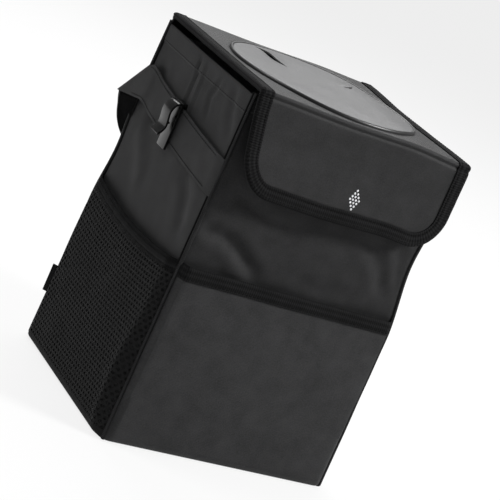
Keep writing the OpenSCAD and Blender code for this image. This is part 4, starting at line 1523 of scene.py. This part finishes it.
def placed(material, group, **values):
    """A node group in a material, with its input values."""
    node = material.node_tree.nodes.new("ShaderNodeGroup")
    node.node_tree = group
    for label, value in values.items():
        node.inputs[label].default_value = value
    return node


def new_material(name, colour, roughness, **sockets):
    """A material with constant values on its shader's own sockets."""
    material = bpy.data.materials.new(name)
    material.use_nodes = True
    shader = material.node_tree.nodes["Principled BSDF"]
    shader.inputs["Base Color"].default_value = (*colour, 1)
    shader.inputs["Roughness"].default_value = roughness
    for label, value in sockets.items():
        shader.inputs[label.replace("_", " ")].default_value = value
    return material, shader


def link_bump(material, shader, height, distance):
    """Feeds a height into the shader's normal."""
    bumps = add_node(material.node_tree, "Bump", Distance=distance, Height=height)
    feed(material.node_tree, shader.inputs["Normal"], bumps.outputs["Normal"])


def link_tone(material, shader, tones, colour, low, high):
    """Varies a colour between low and high shares of it with the mean of the tones."""
    tree = material.node_tree
    total = tones[0]
    for tone in tones[1:]:
        total = calc(tree, "ADD", total, tone)
    ramp = add_node(tree, "ValToRGB", Fac=calc(tree, "MULTIPLY", total, 1 / len(tones)))
    for stop, position, share in zip(ramp.color_ramp.elements, (0.3, 0.8), (low, high)):
        stop.position = position
        stop.color = (*[c * share for c in colour], 1)
    feed(tree, shader.inputs["Base Color"], ramp.outputs["Color"])


def woven(name, colour, roughness, thread=0.55 * MM, depth=0.12 * MM, sheen=0.04, gloss=0.14):
    """A woven cloth of that colour, thread width and depth of weave."""
    if name in bpy.data.materials:
        return bpy.data.materials[name]
    material, shader = new_material(
        name, colour, roughness, Sheen_Weight=sheen, Sheen_Roughness=0.45, Specular_IOR_Level=gloss
    )
    weave = placed(material, weave_group(), Thread=thread)
    cloud = placed(material, blotch_group(), Scale=75.0)
    link_tone(material, shader, [weave.outputs["Tone"], cloud.outputs["Tone"]], colour, 0.5, 1.6)
    link_bump(material, shader, weave.outputs["Height"], depth)
    return material


def cloth_material():
    return woven("Coated cloth", colours().cloth, 0.62)


def pocket_material():
    return woven("Pocket cloth", colours().pocket, 0.6)


def lid_material():
    return woven("Lid cloth", colours().cloth, 0.5)


def strap_material():
    return woven("Strap cloth", colours().cloth, 0.62, thread=0.6 * MM)


# Dark cloth without gloss or sheen: the lid's real lining, and also the dark sheet inside the strap's fold,
# where it is painted shade.
def lining_and_painted_shade_material():
    return woven("Lining cloth", colours().thread, 0.9, thread=0.4 * MM, depth=0.08 * MM, sheen=0, gloss=0)


def net_material():
    return woven("Knitted net", colours().net, 0.7, thread=0.5 * MM, depth=0.1 * MM, sheen=0)


def ribbed(name, colour, rib, roughness):
    """A woven tape with ribs across it."""
    if name in bpy.data.materials:
        return bpy.data.materials[name]
    material, shader = new_material(name, colour, roughness, Specular_IOR_Level=0.05)
    ribs = placed(material, rib_group(), Rib=rib)
    cloud = placed(material, blotch_group(), Scale=60.0)
    link_tone(material, shader, [ribs.outputs["Height"], cloud.outputs["Tone"]], colour, 0.6, 1.8)
    link_bump(material, shader, ribs.outputs["Height"], 0.3 * MM)
    return material


def elastic_material():
    return ribbed("Elastic hem", colours().tape, 1.6 * MM, 0.7)


def tape_material():
    return ribbed("Binding tape", colours().tape, 1.7 * MM, 0.7)


def piping_material():
    return ribbed("Corded piping", colours().cloth, 1.2 * MM, 0.5)


def clouded(name, colour, roughness, cloud_scale, tones, grain=None, **sockets):
    """A material whose tone varies softly between two shares of its colour. Grain is its scale and depth."""
    if name in bpy.data.materials:
        return bpy.data.materials[name]
    material, shader = new_material(name, colour, roughness, **sockets)
    cloud = placed(material, blotch_group(), Scale=cloud_scale)
    link_tone(material, shader, [cloud.outputs["Tone"]], colour, *tones)
    if grain:
        pebbles = placed(material, grain_group(), Scale=grain[0])
        link_bump(material, shader, pebbles.outputs["Height"], grain[1])
    return material


# Sewing thread, and also the dark bead beside each piping, which is painted shadow.
def thread_and_painted_shadow_material():
    return clouded("Thread", colours().thread, 0.8, 900.0, (0.6, 1.5), Specular_IOR_Level=0.05)


def ring_material():
    return clouded("Ring cord", colours().cloth, 0.38, 60.0, (0.8, 1.3), (900.0, 0.06 * MM))


def film_material():
    return clouded("Liner film", colours().film, 0.38, 45.0, (0.85, 1.15), (260.0, 0.3 * MM))


def dot_material():
    return clouded("Reflective dots", colours().dots, 0.3, 800.0, (0.9, 1.1))


def moulded(name, colour, roughness, depth):
    """A moulded plastic with fine unevenness of that depth."""
    return clouded(name, colour, roughness, 220.0, (0.8, 1.3), (1500.0, depth), Specular_IOR_Level=0.4)


def clip_material():
    return moulded("Clip plastic", colours().plastic, 0.22, 0.01 * MM)


def buckle_material():
    return moulded("Buckle plastic", colours().plastic, 0.32, 0.03 * MM)


def board_material():
    return moulded("Board plastic", colours().board, 0.6, 0.06 * MM)


def leather_material():
    """Imitation leather, whose grain shows in its tone too."""
    colour = colours().leather
    material, shader = new_material("Disc leatherette", colour, 0.42, Specular_IOR_Level=0.6)
    grain = placed(material, grain_group(), Scale=620.0)
    cloud = placed(material, blotch_group(), Scale=40.0)
    link_tone(material, shader, [grain.outputs["Height"], cloud.outputs["Tone"]], colour, 0.75, 1.25)
    link_bump(material, shader, grain.outputs["Height"], 0.12 * MM)
    return material


def grip_material():
    """Hook or loop tape, whose tufts show in its tone and its relief."""
    if "Grip strip" in bpy.data.materials:
        return bpy.data.materials["Grip strip"]
    material, shader = new_material("Grip strip", colours().tape, 0.85, Sheen_Weight=0.12)
    tufts = placed(material, grain_group(), Scale=1100.0)
    link_tone(material, shader, [tufts.outputs["Height"]], colours().tape, 0.5, 1.8)
    link_bump(material, shader, tufts.outputs["Height"], 0.6 * MM)
    return material


# The stage

# The camera, as fitted to the photograph: place, direction, roll in degrees and lens in millimetres
CAMERA_AT = (-0.7611, -1.2444, 0.5112)
CAMERA_FORWARD = (0.50783, 0.82496, -0.24809)
CAMERA_ROLL = 24.54
CAMERA_LENS = 146.9

# Soft area lamps: name, place, width and power. All are turned to the middle of the bin.
LAMPS = (
    ("top_softbox", (0.3, 0.9, 1.3), 1.2, 20),
    ("front_softbox", (0.95, -0.7, 1.05), 0.36, 23),
    ("left_softbox", (-1.0, 0.3, 1.3), 0.6, 9),
)
LAMP_AIM = Vector((0, 0, 0.15))


class CARBIN_OT_stage(bpy.types.Operator):
    """Adds the floor, the lamps, the world and the camera."""

    bl_idname = "car_bin.stage"
    bl_label = "Stage"

    def execute(self, context):
        self.floor()
        self.world(context)
        self.lamps()
        self.camera(context)
        context.scene.view_settings.view_transform = "Standard"
        return {"FINISHED"}

    def floor(self):
        """A pale floor that is nearly white to the camera and keeps the object's shadow."""
        bpy.ops.object.select_all(action="DESELECT")
        bpy.ops.mesh.primitive_plane_add(size=12, location=(0, 0, -0.5 * MM))
        floor = bpy.context.object
        floor.name = "studio_floor"
        material, shader = new_material("Pale floor", (0.8, 0.8, 0.8), 0.9)
        tree = material.node_tree
        rays = tree.nodes.new("ShaderNodeLightPath")
        seen = calc(tree, "MAXIMUM", rays.outputs["Is Camera Ray"], rays.outputs["Is Glossy Ray"])
        white = add_node(tree, "Emission", Color=(1, 1, 1, 1))
        mix = add_node(tree, "MixShader", Fac=calc(tree, "MULTIPLY", seen, 0.82))
        feed(tree, mix.inputs[1], shader.outputs[0])
        feed(tree, mix.inputs[2], white.outputs[0])
        feed(tree, tree.nodes["Material Output"].inputs["Surface"], mix.outputs[0])
        floor.data.materials.append(material)

    def world(self, context):
        """An even pale surround."""
        world = bpy.data.worlds.new("Pale surround")
        context.scene.world = world
        world.use_nodes = True
        surround = world.node_tree.nodes["Background"]
        surround.inputs["Color"].default_value = (1, 1, 1, 1)
        surround.inputs["Strength"].default_value = 0.19

    def lamps(self):
        """Soft area lamps: a large one above and behind, and smaller ones at the front right and the left."""
        for name, place, size, power in LAMPS:
            bpy.ops.object.light_add(type="AREA", location=place)
            lamp = bpy.context.object
            lamp.name = name
            lamp.data.shape = "SQUARE"
            lamp.data.size = size
            lamp.data.energy = power
            lamp.rotation_euler = (LAMP_AIM - Vector(place)).to_track_quat("-Z", "Y").to_euler()

    def camera(self, context):
        """A long lens from the front left and above, rolled so that the bin leans as in the photograph."""
        forward = Vector(CAMERA_FORWARD).normalized()
        level = forward.cross(Vector((0, 0, 1))).normalized()
        up = level.cross(forward)
        roll = math.radians(CAMERA_ROLL)
        right = level * math.cos(roll) + up * math.sin(roll)
        top = up * math.cos(roll) - level * math.sin(roll)
        bpy.ops.object.camera_add(location=CAMERA_AT)
        camera = bpy.context.object
        camera.name = "photo_camera"
        camera.rotation_euler = Matrix((right, top, -forward)).transposed().to_euler()
        camera.data.sensor_width = 36
        camera.data.lens = CAMERA_LENS
        camera.data.clip_start = 0.05
        camera.data.clip_end = 50
        context.scene.camera = camera


class CARBIN_PT_panel(bpy.types.Panel):
    """Lists the sizes, the colours and the steps that build the bin."""

    bl_idname = "CARBIN_PT_panel"
    bl_label = "Cloth Car Bin"
    bl_space_type = "VIEW_3D"
    bl_region_type = "UI"
    bl_category = "Car Bin"

    def draw(self, context):
        for group in (context.scene.car_bin_sizes, context.scene.car_bin_colours):
            box = self.layout.box()
            for name in group.__annotations__:
                box.prop(group, name)
        for step in STEPS:
            self.layout.operator(step.bl_idname)


STEPS = (
    CARBIN_OT_stage,
    CARBIN_OT_walls,
    CARBIN_OT_stiffening,
    CARBIN_OT_piping,
    CARBIN_OT_front_pocket,
    CARBIN_OT_mesh_pockets,
    CARBIN_OT_strap,
    CARBIN_OT_fittings,
    CARBIN_OT_cover,
    CARBIN_OT_hinge,
    CARBIN_OT_opening,
    CARBIN_OT_dots,
)
CLASSES = (BinSizes, BinColours, *STEPS, CARBIN_PT_panel)


def register():
    for item in CLASSES:
        bpy.utils.register_class(item)
    bpy.types.Scene.car_bin_sizes = PointerProperty(type=BinSizes)
    bpy.types.Scene.car_bin_colours = PointerProperty(type=BinColours)


def unregister():
    del bpy.types.Scene.car_bin_colours
    del bpy.types.Scene.car_bin_sizes
    for item in reversed(CLASSES):
        bpy.utils.unregister_class(item)


def main():
    register()
    for step in STEPS:
        group, name = step.bl_idname.split(".")
        getattr(getattr(bpy.ops, group), name)()


if __name__ == "__main__":
    main()
